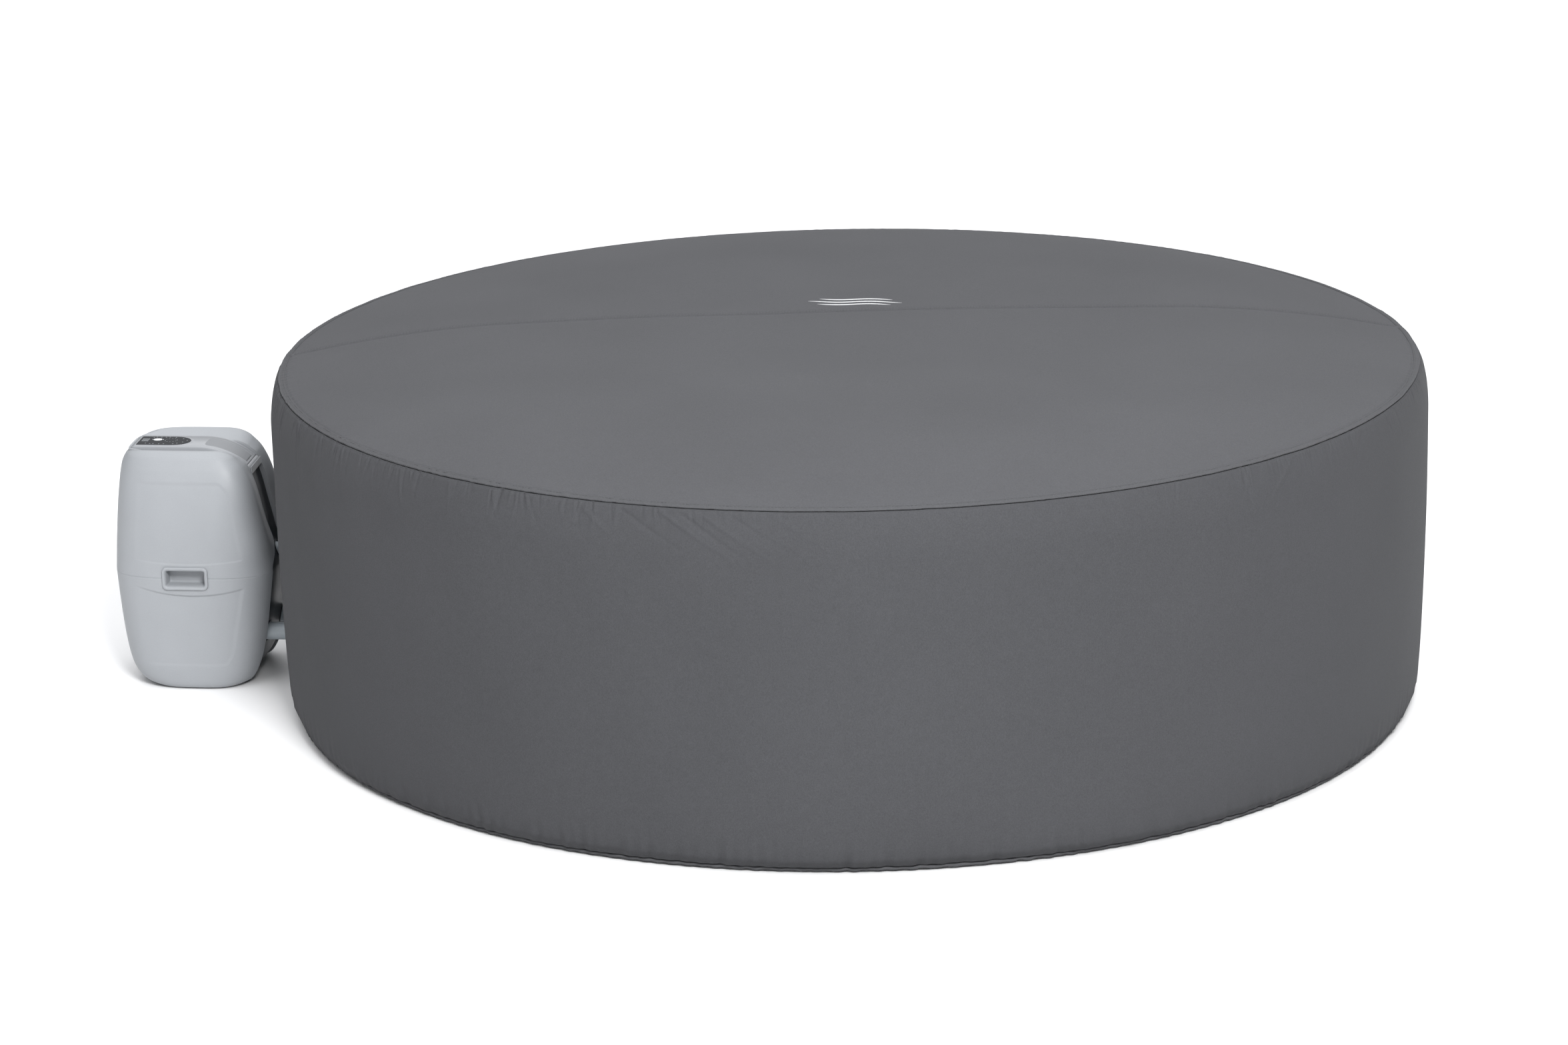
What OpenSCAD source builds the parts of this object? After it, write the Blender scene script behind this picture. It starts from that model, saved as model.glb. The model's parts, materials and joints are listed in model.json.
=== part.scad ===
// Round inflatable hot tub under its fitted fabric cover, with the
// pump, heater and blower unit that stands beside it.
// Frame: the origin is the tub's centre on the ground, +Z is up, and the
// pump unit stands on the -X axis. Sizes are in millimetres.

/* [Inflated tub] */
// Outer radius of the inflated wall
wall_outer_r = 1146; // [1120:1:1148]
// Inner radius of the inflated wall
wall_inner_r = 865; // [850:1:870]
// Height of the top of the inflated wall
wall_top_z = 660; // [600:1:664]
// Thickness of the laminated skins
skin = 2; // [1:0.5:3]
// Thickness of the foam mat under the tub
mat_h = 8; // [6:1:10]
// Number of tension webs inside the wall
web_count = 24; // [12:12:24]

/* [Cover] */
// Widest radius of the fabric cover
cover_r = 1200; // [1195:1:1205]
// Radius of the skirt just above the hem
skirt_low_r = 1188; // [1184:1:1190]
// Radius of the seam round the rim
rim_r = 1177; // [1172:1:1180]
// Height of the seam round the rim
rim_z = 714; // [705:1:725]
// Rise of the crown above the rim seam
crown_h = 70; // [50:1:90]
// Thickness of the fabric with its foam backing
cloth = 3; // [2:0.5:4]
// Turn of the seam between the two top panels
seam_turn = 8; // [0:1:20]
// Height of the arch in the skirt that clears the pipes
arch_top_z = 330; // [310:1:360]

/* [Pump unit] */
// Distance of the pump's centre from the tub's centre
pump_x = 1385; // [1385:1:1450]
// Height of the joint between the lower and upper shells
waist_z = 250; // [245:1:255]
// Thickness of the moulded shells
shell_t = 3; // [2.5:0.25:3.5]
// Half the width of the channel between the two cheeks
channel_half = 45; // [44:0.5:47]
// Height of the rubber feet
foot_h = 4; // [3:0.5:4]
// Length of the carry grip's bezel along X
grip_len = 97; // [90:1:100]
// Height of the carry grip's bezel
grip_h = 48; // [44:1:50]

/* [Pipes] */
// Distance of each water pipe from the middle plane
pipe_y = 65; // [62:1:68]
// Height of the water pipes
pipe_z = 108; // [105:1:112]
// Outer radius of the water pipes
pipe_r = 19; // [17:0.5:20]
// Height of the air pipe
air_z = 272; // [268:1:276]
// Outer radius of the air pipe
air_r = 15; // [13:0.5:15]

/* [Hidden] */
$fn = 96;
tiny = 0.01;
far = 3000;

// Running clearance of shafts and threads, on the radius
run_gap = 0.05;
// Gap between neighbouring pieces that don't touch
gap = 0.5;

// Light grey, mid grey, charcoal and inner colours
LIGHT = [0.74, 0.76, 0.78];
MID = [0.55, 0.57, 0.59];
DARK = [0.17, 0.18, 0.19];
CLOTH_TOP = [0.36, 0.36, 0.37];
CLOTH_SIDE = [0.30, 0.30, 0.31];
VINYL = [0.82, 0.84, 0.86];
INNER = [0.35, 0.40, 0.45];
COPPER = [0.72, 0.45, 0.2];

// Stations of the pump's body: height, reach away from the tub, reach
// towards the tub, half width. Each cross-section is a rounded rectangle.
BODY_STATIONS = [
    [4, 115, 98, 146],
    [10, 133, 110, 150],
    [24, 150, 122, 153],
    [50, 163, 134, 155],
    [100, 173, 148, 157],
    [180, 181, 161, 160],
    [waist_z, 186, 171, 161],
    [313, 182, 156, 158],
    [376, 177, 141, 153],
    [434, 171, 127, 144],
    [475, 165, 110, 131],
    [496, 159, 94, 120],
    [508, 150, 78, 108],
    [513, 138, 62, 96],
];
BODY_POINTS = 48;
BODY_ROUND = 3.5;
body_bottom_z = BODY_STATIONS[0][0];

// Places inside the pump unit, from its own middle
motor_z = 78;
motor_r = 40;
blower_z = 345;
heater_y = 98;
heater_z = 190;
hinge_x = 104;
hinge_z = 459;
knuckle_r = 8;
arm_half = 43.5;
arm_top_z = 507;
arm_end_x = 147;
tray_z = 468;
grip_x = -13;
grip_z = 250;
grip_face_y = 164;
grip_depth = 32;
spine_wide = 97;
spine_top_z = 446;
gland_z = 92;

// Unions between the pipes and the tub's ports
port_r = 26;
nut_r = 33;
spigot_end = wall_outer_r + 34;
air_port_r = 21;
air_nut_r = 27;

// Valves on the wall, by direction, height and size
drain_turn = 240;
drain_z = 62;
drain_r = 14;
inflate_turn = 215;
inflate_z = 480;
inflate_r = 16;
valve_flange = 30;
valve_reach = 6;

// Inner ends of the ports, clear of the wall's curve
port_inner = wall_inner_r - 12;

// Filter inside the tub, in line with the suction pipe
filter_r = 49;
filter_len = 118;

// ---------- helpers ----------

// A tube along +Z
module tube(r_out, r_in, h) {
    difference() {
        cylinder(r = r_out, h = h);
        translate([0, 0, -1]) cylinder(r = r_in, h = h + 2);
    }
}

// Puts children on the outward direction at an angle round the tub:
// their +Z points away from the tub's axis
module outward(turn, offset, height) {
    rotate([0, 0, turn]) translate([0, offset, height]) rotate([0, 90, 0]) children();
}

// The same for the three pipes, which all run along -X
module on_pipe(y, z) {
    outward(180, -y, z) children();
}

// Puts children in the pump unit's own middle
module at_pump() {
    translate([-pump_x, 0, 0]) children();
}

// A box given by its low and high corners
module box(low, high) {
    translate(low) cube(high - low);
}

// An extrusion along Y of an outline drawn in X and Z
module slab(y_low, y_high) {
    translate([0, y_high, 0]) rotate([90, 0, 0]) linear_extrude(y_high - y_low) children();
}

// ---------- inflated tub ----------

// Outline of the wall chamber's cross-section, drawn in by inset
module wall_outline(inset) {
    low = mat_h + inset;
    high = wall_top_z - inset;
    corner = 60 - inset;
    x_in = wall_inner_r + inset;
    x_out = wall_outer_r - inset;
    translate([x_in + corner, low]) square([x_out - x_in - 2 * corner, high - low]);
    translate([x_in, low + corner]) square([x_out - x_in, high - low - 2 * corner]);
    for (x = [x_in + corner, x_out - corner], z = [low + corner, high - corner])
        translate([x, z]) circle(r = corner);
}

// Every tube that passes right through the wall
module wall_sleeves(grow) {
    start = wall_inner_r - 5;
    length = wall_outer_r - wall_inner_r + 10;
    for (y = [-pipe_y, pipe_y])
        on_pipe(y, pipe_z) translate([0, 0, start]) cylinder(r = port_r + grow, h = length);
    on_pipe(0, air_z) translate([0, 0, start]) cylinder(r = air_port_r + grow, h = length);
    outward(drain_turn, 0, drain_z) translate([0, 0, start]) cylinder(r = drain_r + grow, h = length);
}

module ground_mat() {
    color(DARK) cylinder(r = wall_outer_r - 26, h = mat_h);
}

module floor_panel() {
    color(VINYL) translate([0, 0, mat_h]) cylinder(r = wall_inner_r - gap, h = 4);
}

module wall_chamber() {
    color(VINYL) difference() {
        rotate_extrude($fn = 180) wall_outline(0);
        difference() {
            rotate_extrude($fn = 180) wall_outline(skin);
            wall_sleeves(gap + skin);
        }
        wall_sleeves(gap);
        outward(inflate_turn, 0, inflate_z)
            translate([0, 0, wall_outer_r - 10]) cylinder(r = inflate_r + gap, h = 20);
    }
}

module wall_webs() {
    web_t = 1.5;
    web_low = mat_h + 70;
    web_high = wall_top_z - 70;
    bite = 0.5;
    r_start = wall_inner_r + skin - bite;
    r_end = wall_outer_r - skin + bite;
    color(VINYL) for (i = [0 : web_count - 1])
        rotate([0, 0, (i + 0.5) * 360 / web_count])
            translate([r_start, -web_t / 2, web_low])
                cube([r_end - r_start - 0.3, web_t, web_high - web_low]);
}

module bubble_ring() {
    low = mat_h + 4;
    ring_h = 36;
    ring_out = wall_inner_r - 5;
    ring_in = wall_inner_r - 61;
    color(VINYL) difference() {
        translate([0, 0, low]) tube(ring_out, ring_in, ring_h);
        translate([0, 0, low + skin]) tube(ring_out - skin, ring_in + skin, ring_h - 2 * skin);
        for (turn = [0 : 10 : 350])
            rotate([0, 0, turn]) translate([ring_in + 20, 0, low + ring_h - skin - 1])
                cylinder(r = 3, h = skin + 2, $fn = 24);
    }
}

module air_duct() {
    duct_in = port_inner - 16.5;
    duct_out = port_inner - 0.5;
    low = mat_h + 40;
    high = air_z + 32;
    color(VINYL) difference() {
        box([-duct_out, -14, low], [-duct_in, 14, high]);
        box([-duct_out + skin, -14 + skin, low + skin], [-duct_in - skin, 14 - skin, high - skin]);
        translate([-duct_out - 5, 0, air_z]) rotate([0, 90, 0]) cylinder(r = 9, h = 10);
        box([-duct_out + 4, -6, low - 1], [-duct_in - 4, 6, low + skin + 1]);
    }
}

// A through-wall port: sleeve, inner flange and threaded spigot
module port(y, z, r_out, r_in, flange) {
    on_pipe(y, z) difference() {
        union() {
            translate([0, 0, port_inner]) cylinder(r = r_out, h = spigot_end - port_inner);
            translate([0, 0, port_inner]) cylinder(r = flange, h = 4);
            translate([0, 0, wall_outer_r + 0.5]) cylinder(r = flange, h = 4);
        }
        translate([0, 0, port_inner - 1]) cylinder(r = r_in, h = spigot_end - port_inner + 2);
    }
}

module suction_port() {
    color(MID) port(pipe_y, pipe_z, port_r, pipe_r + gap, 36);
}

module return_port() {
    color(MID) port(-pipe_y, pipe_z, port_r, pipe_r + gap, 36);
}

module air_port() {
    color(MID) port(0, air_z, air_port_r, air_r + gap, 28);
}

module return_screen() {
    cap_r = 38;
    cap_h = 14;
    bars = 5;
    color(MID) on_pipe(-pipe_y, pipe_z) translate([0, 0, port_inner - cap_h]) difference() {
        cylinder(r = cap_r, h = cap_h);
        translate([0, 0, 3]) cylinder(r = cap_r - 3, h = cap_h);
        for (i = [-bars : 2 : bars])
            translate([i * 5 - 2, -cap_r * 0.6, -1]) cube([4, cap_r * 1.2, 5]);
    }
}

module filter_housing() {
    color(VINYL) on_pipe(pipe_y, pipe_z)
        translate([0, 0, port_inner - filter_len]) difference() {
            cylinder(r = filter_r, h = filter_len);
            translate([0, 0, -1]) cylinder(r = filter_r - 3, h = filter_len - 3);
            cylinder(r = pipe_r, h = filter_len + 1);
            for (turn = [0 : 30 : 330])
                rotate([0, 0, turn]) translate([filter_r - 8, -3, 20]) cube([16, 6, filter_len - 50]);
        }
}

module filter_cartridge() {
    pleats = 24;
    core_r = 12;
    body_r = 36;
    body_h = filter_len - 12;
    color("white") on_pipe(pipe_y, pipe_z)
        translate([0, 0, port_inner - filter_len]) difference() {
            union() {
                cylinder(r = body_r - 4, h = body_h);
                for (i = [0 : pleats - 1])
                    rotate([0, 0, i * 360 / pleats]) translate([0, -1.5, 4])
                        cube([body_r, 3, body_h - 8]);
            }
            translate([0, 0, 6]) cylinder(r = core_r, h = body_h);
        }
}

module filter_cap() {
    cap_h = 9;
    color(MID) on_pipe(pipe_y, pipe_z)
        translate([0, 0, port_inner - filter_len - cap_h - gap]) union() {
            difference() {
                cylinder(r = filter_r + 2, h = cap_h);
                translate([0, 0, -1]) tube(30, 14, 5);
            }
            translate([-20, -3, -6]) cube([40, 6, 6.5]);
            translate([0, 0, cap_h]) tube(28, 25, gap);
        }
}

// A capped valve body: flange, neck and stem into the chamber
module valve_body(r_neck, r_hole, depth) {
    difference() {
        union() {
            translate([0, 0, wall_outer_r - depth]) cylinder(r = r_neck, h = depth + valve_reach);
            translate([0, 0, wall_outer_r + 0.2]) cylinder(r = valve_flange, h = 1.8);
        }
        translate([0, 0, wall_outer_r - depth - 1]) cylinder(r = r_hole, h = depth + valve_reach + 2);
    }
}

module inflation_valve() {
    color(MID) outward(inflate_turn, 0, inflate_z) valve_body(inflate_r, inflate_r - 6, 26);
}

module drain_valve() {
    depth = wall_outer_r - wall_inner_r + 4;
    color(MID) outward(drain_turn, 0, drain_z) valve_body(drain_r, drain_r - 5, depth);
}

// A screw cap over a valve's neck
module valve_cap(r_neck) {
    translate([0, 0, wall_outer_r + 2.3]) difference() {
        cylinder(r = r_neck + 4, h = valve_reach);
        translate([0, 0, -1]) cylinder(r = r_neck + run_gap, h = valve_reach - 1);
    }
}

module inflation_cap() {
    color(DARK) outward(inflate_turn, 0, inflate_z) valve_cap(inflate_r);
}

module drain_cap() {
    color(DARK) outward(drain_turn, 0, drain_z) valve_cap(drain_r);
}

// ---------- fabric cover and its inflated lid ----------

// Height of the cover's upper surface at a radius
function crown_z(r) = rim_z + crown_h * (1 - pow(r / rim_r, 4.3));

// Radius of the skirt's outer face at a height
shoulder_z = 620;
lip_z = rim_z - 7;
lip_r = rim_r + 7;
hem_top_z = 70;
hem_low_z = 14;
hem_in_r = 1172;
function skirt_r(z) =
    z > shoulder_z
        ? cover_r - (cover_r - lip_r) * pow((z - shoulder_z) / (lip_z - shoulder_z), 2.2)
    : z > hem_top_z
        ? skirt_low_r + (cover_r - skirt_low_r)
            * pow(sin(90 * (z - hem_top_z) / (shoulder_z - hem_top_z)), 0.63)
    : hem_in_r + (skirt_low_r - hem_in_r)
            * sqrt(1 - pow((hem_top_z - z) / (hem_top_z - hem_low_z + 2), 2));

module crown_shell() {
    steps = 16;
    outer = [for (i = [0 : steps]) let (r = rim_r * i / steps) [r, crown_z(r)]];
    inner = [for (i = [steps : -1 : 0]) let (r = rim_r * i / steps) [r, crown_z(r) - cloth]];
    rotate_extrude($fn = 180) polygon(concat(outer, inner));
}

// The half plane behind the seam between the two top panels
module behind_seam() {
    translate([-10, 91, 0]) rotate([0, 0, seam_turn]) translate([-far, 0, 0]) cube([2 * far, far, far]);
}

module cover_top_front() {
    color(CLOTH_TOP) difference() {
        crown_shell();
        behind_seam();
    }
}

module cover_top_rear() {
    color(CLOTH_TOP) intersection() {
        crown_shell();
        behind_seam();
    }
}

module rim_piping() {
    color(CLOTH_TOP) translate([0, 0, rim_z - 6])
        rotate_extrude($fn = 180) translate([rim_r + 0.2, 0]) square([6, 9]);
}

// The arch that clears the pump's pipes
module pipe_arch(margin) {
    half = 130 + margin;
    corner = 60;
    top = arch_top_z + margin;
    box([-far, -half, -tiny], [-wall_outer_r, half, top - corner]);
    box([-far, -half + corner, 0], [-wall_outer_r, half - corner, top]);
    for (y = [-half + corner, half - corner])
        translate([-wall_outer_r, y, top - corner]) rotate([0, -90, 0]) cylinder(r = corner, h = 200);
}

module cover_skirt() {
    steps = 22;
    heights = [for (i = [0 : steps]) hem_low_z + (lip_z - hem_low_z) * i / steps];
    outer = [for (z = heights) [skirt_r(z), z]];
    inner = [for (i = [steps : -1 : 0]) [skirt_r(heights[i]) - cloth, heights[i]]];
    color(CLOTH_SIDE) difference() {
        rotate_extrude($fn = 180) polygon(concat(outer, inner));
        pipe_arch(0);
    }
}

// The elastic casing round the hem, nicked into short lengths
module hem_band() {
    color(CLOTH_SIDE) difference() {
        rotate_extrude($fn = 180) translate([1160, 3]) square([13, 10]);
        pipe_arch(2);
        for (turn = [4 : 8 : 356])
            rotate([0, 0, turn]) translate([1150, -0.2, 0]) cube([30, 0.4, 20]);
    }
}

// Outline of the lid's cross-section, drawn in by inset
module lid_outline(inset) {
    steps = 12;
    low = wall_top_z + 2 + inset;
    edge = rim_r - 22 - inset;
    crown = [for (i = [steps : -1 : 0])
        let (r = edge * i / steps) [r, crown_z(r) - cloth - 4 - inset]];
    polygon(concat([[0, low], [edge, low], [edge + 12, low + 16], [edge + 8, low + 32]], crown));
}

module lid_bladder() {
    color(VINYL) difference() {
        rotate_extrude($fn = 120) lid_outline(0);
        rotate_extrude($fn = 120) lid_outline(skin);
        translate([500, 0, wall_top_z]) cylinder(r = 14 + gap, h = 10);
    }
}

module lid_valve() {
    color(MID) translate([500, 0, wall_top_z - 6]) union() {
        cylinder(r = 22, h = 7.5);
        cylinder(r = 14, h = 16);
    }
}

// ---------- pump unit: body ----------

// One cross-section of the body: a rounded rectangle that may reach
// further one way along X than the other
function body_ring(s, inset) = [
    for (i = [0 : BODY_POINTS - 1])
        let (
            t = i * 360 / BODY_POINTS,
            c = cos(t),
            d = sin(t),
            reach = (c >= 0 ? s[2] : s[1]) - inset,
            x = sign(c) * reach * pow(abs(c), 2 / BODY_ROUND),
            y = sign(d) * (s[3] - inset) * pow(abs(d), 2 / BODY_ROUND)
        ) [x, y, s[0]]
];

// The whole body as one closed loft, drawn in by inset
module body_loft(inset) {
    last = len(BODY_STATIONS) - 1;
    n = BODY_POINTS;
    rings = [for (i = [0 : last])
        let (
            s = BODY_STATIONS[i],
            lift = i == 0 ? inset : i == last ? -inset : 0
        ) body_ring([s[0] + lift, s[1], s[2], s[3]], inset)];
    points = [for (ring = rings) each ring];
    bottom = [for (i = [0 : n - 1]) i];
    top = [for (i = [n - 1 : -1 : 0]) last * n + i];
    sides = [for (k = [0 : last - 1], i = [0 : n - 1])
        let (a = k * n + i, b = k * n + (i + 1) % n)
        each [[a, a + n, b + n], [a, b + n, b]]];
    polyhedron(points = points, faces = concat([bottom, top], sides));
}

// Everything in front of the channel: negative Y
module front_side() {
    box([-300, -300, -10], [300, -channel_half, 600]);
}

// The space that the shells enclose, short of the channel's walls
module cheek_hollow() {
    intersection() {
        body_loft(shell_t);
        box([-300, -300, -10], [300, -channel_half - shell_t, 600]);
    }
    box([-128, -channel_half - shell_t - 1, -10], [118, -channel_half + 1, 432]);
}

module grip_cutout() {
    margin = 5;
    box([grip_x - grip_len / 2 + margin, -200, grip_z - grip_h / 2 + margin],
        [grip_x + grip_len / 2 - margin, -grip_face_y + grip_depth + 2, grip_z + grip_h / 2 - margin]);
}

// The hinge pin's hole through the channel's wall
module pin_hole() {
    translate([hinge_x, -60, hinge_z]) rotate([-90, 0, 0]) cylinder(r = 3 + run_gap, h = 20);
}

module upper_cheek() {
    difference() {
        intersection() {
            body_loft(0);
            front_side();
            box([-300, -300, waist_z], [300, 0, 600]);
        }
        cheek_hollow();
        grip_cutout();
        pin_hole();
    }
}

module lower_cheek() {
    difference() {
        intersection() {
            body_loft(0);
            front_side();
            box([-300, -300, -10], [300, 0, waist_z]);
        }
        intersection() {
            body_loft(shell_t);
            box([-300, -300, -10], [300, 0, 600]);
        }
        grip_cutout();
        box([20, -spine_wide - gap, 9], [300, 0, waist_z + 1]);
    }
}

module front_upper_shell() {
    color(LIGHT) at_pump() upper_cheek();
}

module rear_upper_shell() {
    color(LIGHT) at_pump() mirror([0, 1, 0]) upper_cheek();
}

module front_lower_shell() {
    color(LIGHT) at_pump() lower_cheek();
}

module rear_lower_shell() {
    color(LIGHT) at_pump() mirror([0, 1, 0]) lower_cheek();
}

// Reach of the body towards the tub, and away from it, at a height
function reach_in(z) = lookup(z, [for (s = BODY_STATIONS) [s[0], s[2]]]);
function reach_out(z) = lookup(z, [for (s = BODY_STATIONS) [s[0], s[1]]]);

// How far the spine lies inside the cheeks' outline at a height
function spine_inset(z) = z < waist_z ? 17 : 15;

// The dark panel down the tub side: wide round the pipes, narrow above
module spine_strip(z_low, z_high) {
    steps = 16;
    heights = [for (i = [0 : steps]) z_low + (z_high - z_low) * i / steps];
    face = [for (z = heights) [reach_in(z) - spine_inset(z), z]];
    back = [for (i = [steps : -1 : 0])
        [reach_in(heights[i]) - spine_inset(heights[i]) - shell_t, heights[i]]];
    polygon(concat(face, back));
}

module spine_panel() {
    half = channel_half - gap;
    color(DARK) at_pump() difference() {
        union() {
            slab(-spine_wide, spine_wide) spine_strip(12, waist_z);
            slab(-half, half) spine_strip(waist_z - 8, spine_top_z);
        }
        for (y = [-pipe_y, pipe_y])
            translate([100, y, pipe_z]) rotate([0, 90, 0]) cylinder(r = pipe_r + gap, h = 100);
        translate([100, 0, air_z]) rotate([0, 90, 0]) cylinder(r = air_r + gap, h = 100);
    }
}

// The panel down the outer end, with the blower's air slots
module outer_panel() {
    steps = 16;
    z_low = 14;
    z_high = tray_z - 1;
    inset = 8;
    half = channel_half - gap;
    heights = [for (i = [0 : steps]) z_low + (z_high - z_low) * i / steps];
    face = [for (z = heights) [inset - reach_out(z), z]];
    back = [for (i = [steps : -1 : 0]) [inset + shell_t - reach_out(heights[i]), heights[i]]];
    color(MID) at_pump() difference() {
        slab(-half, half) polygon(concat(face, back));
        for (i = [0 : 6])
            box([-200, -32, 300 + i * 14], [-100, 32, 306 + i * 14]);
        translate([-200, 0, gland_z]) rotate([0, 90, 0]) cylinder(r = 9 + gap, h = 100);
    }
}

// The tray that closes the channel below the control arm
module arm_tray() {
    half = channel_half - gap;
    tray_end = 92;
    color(DARK) at_pump() union() {
        box([-142, -half, tray_z - 12], [70, half, tray_z - 9]);
        box([-142, -half, tray_z - 9], [-139, half, tray_z + 4]);
        slab(-half, half) polygon([[70, tray_z - 12], [tray_end, tray_z - 31], [tray_end, tray_z - 27],
            [70, tray_z - 9]]);
    }
}

// The bar across the channel behind the arm's hinge
module hinge_bar() {
    half = channel_half - gap;
    color(LIGHT) at_pump() slab(-half, half) polygon([
        [hinge_x + knuckle_r + 1, hinge_z - 10],
        [hinge_x + knuckle_r + 8, hinge_z - 10],
        [hinge_x + knuckle_r + 4, hinge_z + 7],
        [hinge_x + knuckle_r + 1, hinge_z + 7],
    ]);
}

// ---------- control arm ----------

// Top line of the arm: flat over the head, then an arc down to the hinge
arc_run = hinge_x;
arc_drop = arm_top_z - hinge_z - knuckle_r;
arc_r = (arc_run * arc_run + arc_drop * arc_drop) / (2 * arc_drop);
arc_turn = asin(arc_run / arc_r);
function arm_line(inset) = [
    for (i = [0 : 8])
        let (t = arc_turn * i / 8)
        [(arc_r - inset) * sin(t), arm_top_z - arc_r + (arc_r - inset) * cos(t)]
];

// Side view of the arm, drawn in from its top line by inset
module arm_side(inset, bottom_inset) {
    polygon(concat(
        [[-arm_end_x + inset, arm_top_z - bottom_inset], [-arm_end_x + inset, arm_top_z - inset - 5],
            [-arm_end_x + inset + 5, arm_top_z - inset]],
        arm_line(inset),
        [for (p = [8 : -1 : 0]) arm_line(bottom_inset)[p]]
    ));
}

// The bullet outline of the touch glass, seen from above
module glass_outline(margin) {
    tail = -142 + margin;
    nose = -24 - margin;
    half = 34 - margin;
    shoulder = -64;
    polygon(concat(
        [[tail, -half], [shoulder, -half]],
        [for (t = [-80 : 10 : 80])
            [shoulder + (nose - shoulder) * cos(t), half * sin(t)]],
        [[shoulder, half], [tail, half]]
    ));
}

module control_arm() {
    color(LIGHT) at_pump() difference() {
        union() {
            slab(-arm_half, arm_half) arm_side(0, 26);
            translate([hinge_x, -arm_half, hinge_z]) rotate([-90, 0, 0])
                cylinder(r = knuckle_r, h = 2 * arm_half);
        }
        slab(-arm_half + 3, arm_half - 3) intersection() {
            arm_side(4.5, 40);
            translate([-300, 0]) square([300 + hinge_x - 20, 600]);
        }
        translate([hinge_x, -arm_half - 1, hinge_z]) rotate([-90, 0, 0])
            cylinder(r = 3 + run_gap, h = 2 * arm_half + 2);
        translate([0, 0, arm_top_z - 1.5]) linear_extrude(5) glass_outline(0);
        slab(-35, 35) intersection() {
            difference() {
                arm_side(-1, 1.5);
                translate([-300, 0]) square([300 - 18, 600]);
            }
            square([hinge_x - 8, 600]);
        }
    }
}

// The mid-grey inlay from the glass's nose to the hinge
module arm_cover() {
    color(MID) at_pump() slab(-34.7, 34.7) intersection() {
        arm_side(0, 1.5);
        translate([0.3, 0]) square([hinge_x - 8.6, 600]);
    }
}

module touch_glass() {
    color([0.12, 0.13, 0.14]) at_pump()
        translate([0, 0, arm_top_z - 1.5]) linear_extrude(1.8) glass_outline(0.3);
}

module hinge_pin() {
    color("silver") at_pump() translate([hinge_x, -channel_half - 2.8, hinge_z])
        rotate([-90, 0, 0]) cylinder(r = 3, h = 2 * channel_half + 5.6);
}

// ---------- carry grips ----------

module grip() {
    wall = 2.5;
    x0 = grip_x - grip_len / 2;
    x1 = grip_x + grip_len / 2;
    z0 = grip_z - grip_h / 2;
    z1 = grip_z + grip_h / 2;
    cup = 5.5;
    difference() {
        union() {
            box([x0, -grip_face_y, z0], [x1, -grip_face_y + 2.5, z1]);
            box([x0 + cup, -grip_face_y + 2.5 - tiny, z0 + cup],
                [x1 - cup, -grip_face_y + grip_depth, z1 - cup]);
        }
        box([x0 + cup + wall, -grip_face_y - 1, z0 + cup + wall],
            [x1 - cup - wall, -grip_face_y + grip_depth - wall, z1 - cup - wall]);
    }
}

module front_grip() {
    color(LIGHT) at_pump() grip();
}

module rear_grip() {
    color(LIGHT) at_pump() mirror([0, 1, 0]) grip();
}

// ---------- base and inner parts ----------

base_z = 20;
base_t = 4;
BASE_POINTS = [for (x = [-85, 60], y = [-90, 90]) [x, y]];

module base_plate() {
    color(DARK) at_pump() difference() {
        union() {
            box([-105, -105, base_z], [80, 105, base_z + base_t]);
            for (p = BASE_POINTS)
                translate([p[0], p[1], body_bottom_z + shell_t]) cylinder(r = 8, h = base_z - 7 + tiny);
        }
        for (p = BASE_POINTS)
            translate([p[0], p[1], 0]) cylinder(r = 2.2, h = 40, $fn = 32);
    }
}

module base_screws() {
    color("silver") at_pump() for (p = BASE_POINTS) translate([p[0], p[1], 0]) {
        translate([0, 0, 10]) cylinder(r = 2, h = base_z + base_t - 10, $fn = 32);
        translate([0, 0, base_z + base_t]) cylinder(r = 4.5, h = 2.5, $fn = 32);
    }
}

module rubber_feet() {
    color(DARK) at_pump() for (x = [-75, 50], y = [-100, 100])
        translate([x, y, 0]) cylinder(r = 14, h = foot_h);
}

shaft_r = 5;
volute_x = 4;
volute_len = 44;
volute_r = 46;

module pump_motor() {
    color(INNER) at_pump() difference() {
        union() {
            translate([-110, 0, motor_z]) rotate([0, 90, 0]) cylinder(r = motor_r, h = 110);
            box([-95, -34, base_z + base_t], [-10, 34, motor_z - 10]);
            for (turn = [0 : 30 : 330])
                translate([-90, 0, motor_z]) rotate([turn, 0, 0])
                    translate([0, -1.5, 0]) cube([70, 3, motor_r + 4]);
        }
        translate([-40, 0, motor_z]) rotate([0, 90, 0]) cylinder(r = shaft_r + run_gap, h = 60);
    }
}

module pump_volute() {
    color(DARK) at_pump() difference() {
        union() {
            translate([volute_x, 0, motor_z]) rotate([0, 90, 0]) cylinder(r = volute_r, h = volute_len);
            translate([volute_x + volute_len, 0, motor_z]) rotate([0, 90, 0]) cylinder(r = 17, h = 14);
            translate([volute_x + 22, 26, motor_z]) cylinder(r = 15, h = 66);
        }
        translate([volute_x + 4, 0, motor_z]) rotate([0, 90, 0])
            cylinder(r = volute_r - 4, h = volute_len - 8);
        translate([volute_x - 1, 0, motor_z]) rotate([0, 90, 0])
            cylinder(r = shaft_r + run_gap, h = 10);
        translate([volute_x + 30, 0, motor_z]) rotate([0, 90, 0]) cylinder(r = 13, h = 40);
        translate([volute_x + 22, 26, motor_z]) cylinder(r = 11, h = 70);
    }
}

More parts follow.
